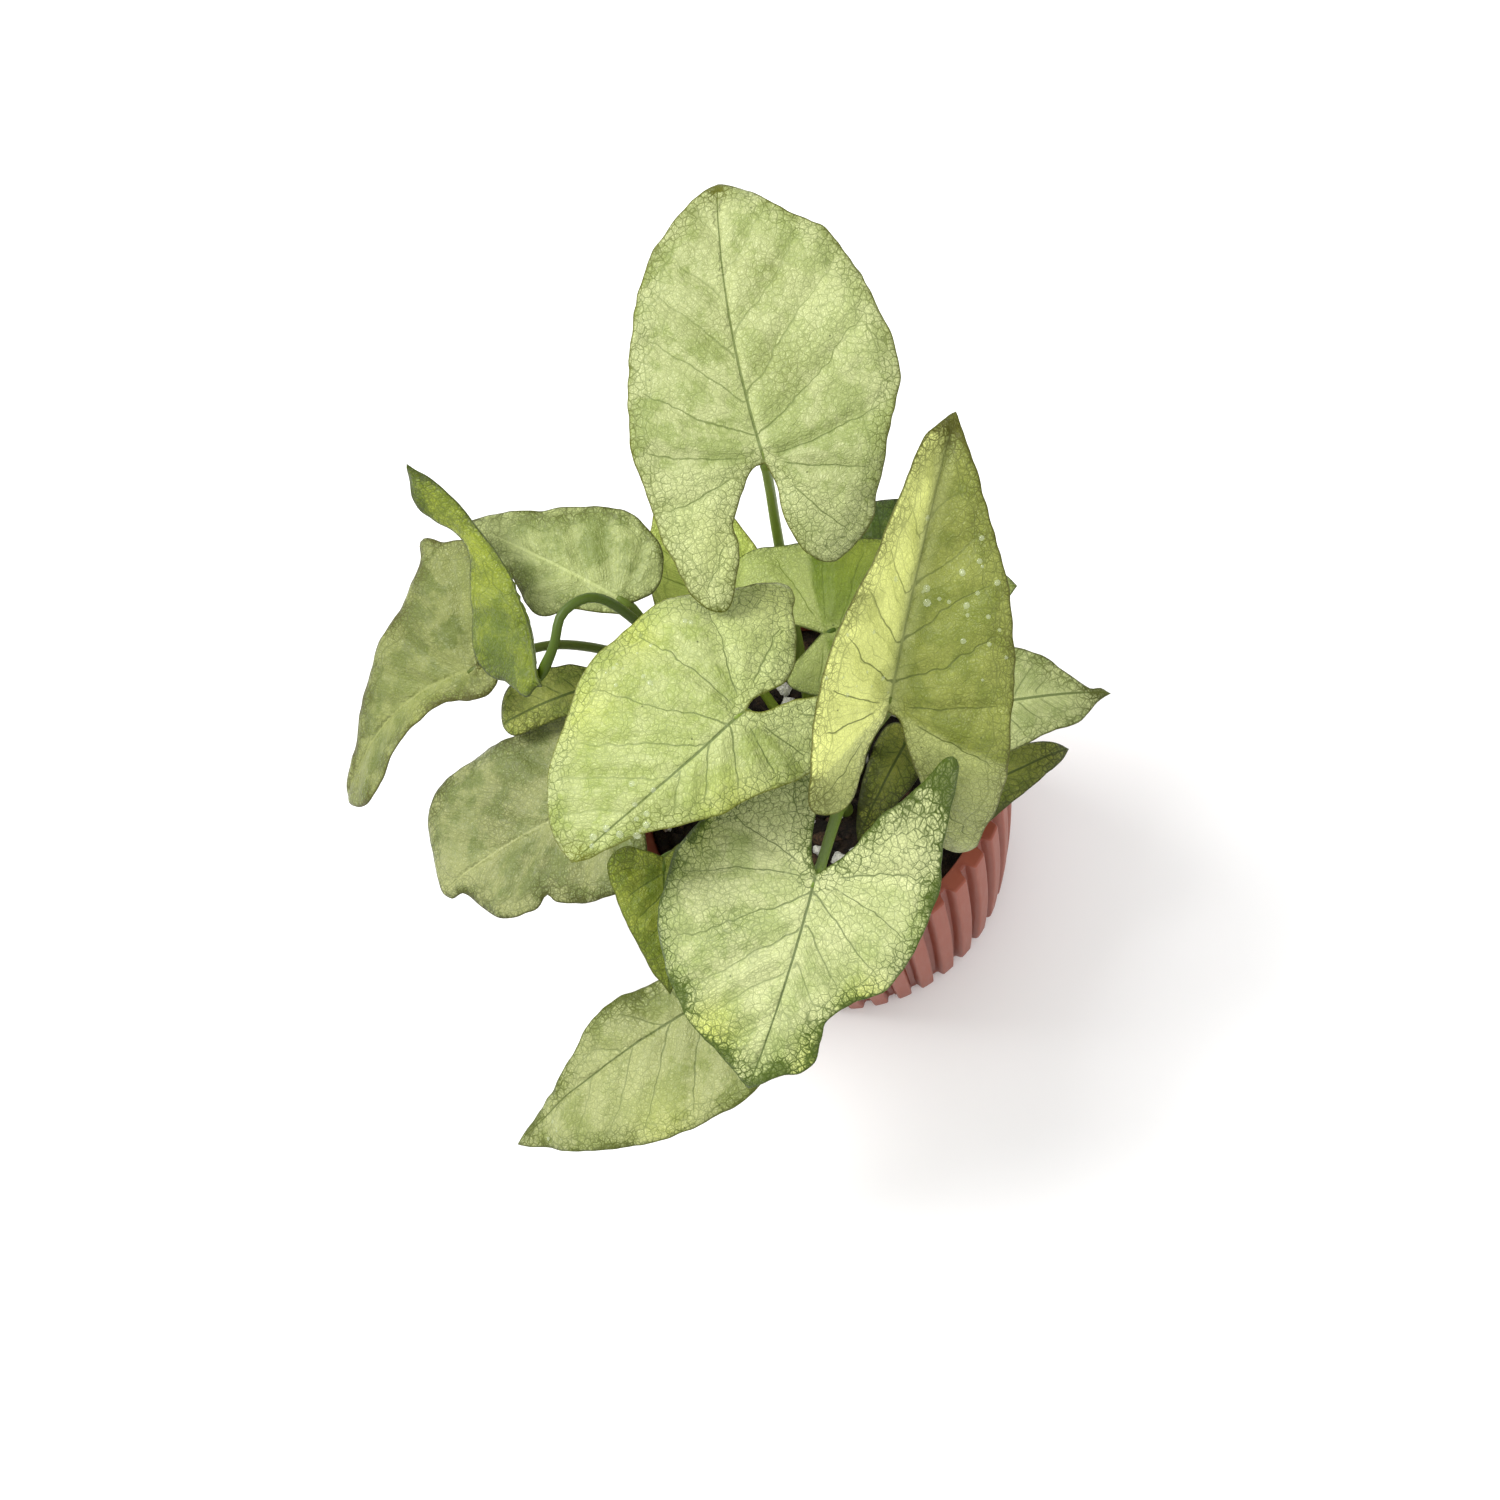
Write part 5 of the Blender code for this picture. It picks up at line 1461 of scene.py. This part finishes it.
def length_value(name, description, default, low=0.0):
    return number_value(name, description, default, low, subtype="DISTANCE", unit="LENGTH",
                        precision=5)


def angle_value(name, description, degrees):
    return bpy.props.FloatProperty(name=name, description=description, default=math.radians(degrees),
                                   subtype="ANGLE", unit="ROTATION")


def count_value(name, description, default, low=0):
    return bpy.props.IntProperty(name=name, description=description, default=default, min=low)


def colour_value(name, description, default):
    return bpy.props.FloatVectorProperty(name=name, description=description, default=default,
                                         size=3, min=0.0, max=1.0, subtype="COLOR")


class ArrowheadLeafSettings(bpy.types.PropertyGroup):
    """Fineness and relief of the leaves"""

    spacing: length_value("Spacing", "Distance between the blade's points", 0.0009, 0.0003)
    stalk_step: length_value("Stalk step", "Distance between a stalk's rings", 0.0015, 0.0005)
    thickness: length_value("Thickness", "Thickness of a blade away from its midrib", 0.0006)
    quilt: length_value("Quilt", "Swelling of the tissue between the side veins", 0.00045)
    ripple: length_value("Ripple", "Slow waves of the margin", 0.0011)
    crinkle: length_value("Crinkle", "Small unevenness of the tissue", 0.00022)
    bays: length_value("Bays", "Depth of the bays along the margin", 0.00045)


class ArrowheadPotSettings(bpy.types.PropertyGroup):
    """Sizes and colour of the pot"""

    height: length_value("Height", "From the underside to the rim", 0.056)
    rim_radius: length_value("Rim radius", "Over the ribs at the rim", 0.0375)
    base_radius: length_value("Base radius", "Over the ribs at the foot", 0.0326)
    belly: length_value("Belly", "How far the wall swells at half its height", 0.0009)
    bore_radius: length_value("Inner radius", "Inside radius at the rim", 0.0338)
    bore_base_radius: length_value("Inner base radius", "Inside radius at the floor", 0.0290)
    rib_depth: length_value("Rib depth", "Depth of the grooves between the ribs", 0.0019)
    ribs: count_value("Ribs", "Number of ribs round the wall", 40, 3)
    colour: colour_value("Colour", "Colour of the plastic", (0.250, 0.060, 0.032))


class ArrowheadSoilSettings(bpy.types.PropertyGroup):
    """Size and make-up of the potting mix"""

    radius: length_value("Radius", "Radius of the mix at its top", 0.0325)
    colour: colour_value("Colour", "Colour of the damp mix", (0.012, 0.009, 0.007))
    perlite: count_value("Perlite", "Number of white grains", 95)
    perlite_colour: colour_value("Perlite colour", "Colour of the white grains", (0.80, 0.78, 0.72))
    bark: count_value("Bark", "Number of bark chips", 70)
    crumbs: count_value("Crumbs", "Number of loose crumbs", 260)


class ArrowheadStageSettings(bpy.types.PropertyGroup):
    """Floor, light and camera"""

    floor_size: length_value("Floor size", "Side of the square floor", 3.0)
    floor_colour: colour_value("Floor colour", "Colour of the pale floor", (0.97, 0.97, 0.97))
    sky_colour: colour_value("Sky colour", "Colour of the light from all round", (1.0, 1.0, 1.0))
    sky: number_value("Sky", "Strength of the light from all round", 0.87)
    key: number_value("Window light", "Power of the main light", 12.5, subtype="POWER")
    fill: number_value("Fill light", "Power of the second light", 3.2, subtype="POWER")
    lens: number_value("Lens", "Focal length in millimetres", 50.0, 1.0)
    distance: length_value("Distance", "From the camera to what it looks at", 0.393)
    rise: angle_value("Rise", "How steeply the camera looks down", 66)
    turn: angle_value("Turn", "How far round the plant the camera stands", 26)
    roll: angle_value("Roll", "How far the camera leans", 26)
    target: bpy.props.FloatVectorProperty(
        name="Target", description="The point in the middle of the view",
        default=(-0.0112, 0.0035, 0.056), size=3, subtype="TRANSLATION", unit="LENGTH")


class ARROWHEAD_OT_leaves(bpy.types.Operator):
    """Make every leaf with its stalk, veins and colours"""

    bl_idname = "arrowhead.leaves"
    bl_label = "Leaves"

    def execute(self, context):
        for seed, leaf in enumerate(LEAVES):
            make_leaf(leaf, seed, context.scene.arrowhead_leaves)
        return {"FINISHED"}


class ARROWHEAD_OT_dew(bpy.types.Operator):
    """Put the drops of water on the leaves"""

    bl_idname = "arrowhead.dew"
    bl_label = "Dew"

    def execute(self, context):
        skin = water_skin()
        for seed, leaf in enumerate(LEAVES):
            points, faces = make_dew(leaf, seed)
            if points:
                drops = mesh_piece("dew_on_" + leaf["name"], points, faces, [skin])
                settle(drops)
        return {"FINISHED"}


class ARROWHEAD_OT_pot(bpy.types.Operator):
    """Make the fluted pot"""

    bl_idname = "arrowhead.pot"
    bl_label = "Pot"

    def execute(self, context):
        make_pot(context.scene.arrowhead_pot)
        return {"FINISHED"}


class ARROWHEAD_OT_soil(bpy.types.Operator):
    """Make the potting mix and the grains on it"""

    bl_idname = "arrowhead.soil"
    bl_label = "Potting Mix"

    def execute(self, context):
        make_soil(context.scene.arrowhead_soil)
        make_grit(context.scene.arrowhead_soil)
        return {"FINISHED"}


class ARROWHEAD_OT_stage(bpy.types.Operator):
    """Set the floor, the lights and the camera"""

    bl_idname = "arrowhead.stage"
    bl_label = "Stage"

    def execute(self, context):
        make_stage(context.scene.arrowhead_stage)
        return {"FINISHED"}


class ARROWHEAD_PT_panel(bpy.types.Panel):
    """Buttons and settings of the arrowhead plant"""

    bl_idname = "ARROWHEAD_PT_panel"
    bl_label = "Arrowhead Plant"
    bl_space_type = "VIEW_3D"
    bl_region_type = "UI"
    bl_category = "Arrowhead"

    def draw(self, context):
        groups = (
            (ARROWHEAD_OT_leaves, "arrowhead_leaves"),
            (ARROWHEAD_OT_dew, None),
            (ARROWHEAD_OT_pot, "arrowhead_pot"),
            (ARROWHEAD_OT_soil, "arrowhead_soil"),
            (ARROWHEAD_OT_stage, "arrowhead_stage"),
        )
        for operator, group in groups:
            box = self.layout.box()
            box.operator(operator.bl_idname)
            if group:
                values = getattr(context.scene, group)
                for name in values.__annotations__:
                    box.prop(values, name)


SETTINGS = {
    "arrowhead_leaves": ArrowheadLeafSettings,
    "arrowhead_pot": ArrowheadPotSettings,
    "arrowhead_soil": ArrowheadSoilSettings,
    "arrowhead_stage": ArrowheadStageSettings,
}
TOOLS = (ARROWHEAD_OT_leaves, ARROWHEAD_OT_dew, ARROWHEAD_OT_pot, ARROWHEAD_OT_soil, ARROWHEAD_OT_stage,
         ARROWHEAD_PT_panel)


def register():
    for made in (*SETTINGS.values(), *TOOLS):
        bpy.utils.register_class(made)
    for name, group in SETTINGS.items():
        setattr(bpy.types.Scene, name, bpy.props.PointerProperty(type=group))


def unregister():
    for name in SETTINGS:
        delattr(bpy.types.Scene, name)
    for made in reversed((*SETTINGS.values(), *TOOLS)):
        bpy.utils.unregister_class(made)


def main():
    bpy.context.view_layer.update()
    register()
    bpy.ops.arrowhead.stage()
    bpy.ops.arrowhead.pot()
    bpy.ops.arrowhead.soil()
    bpy.ops.arrowhead.leaves()
    bpy.ops.arrowhead.dew()


if __name__ == "__main__":
    main()
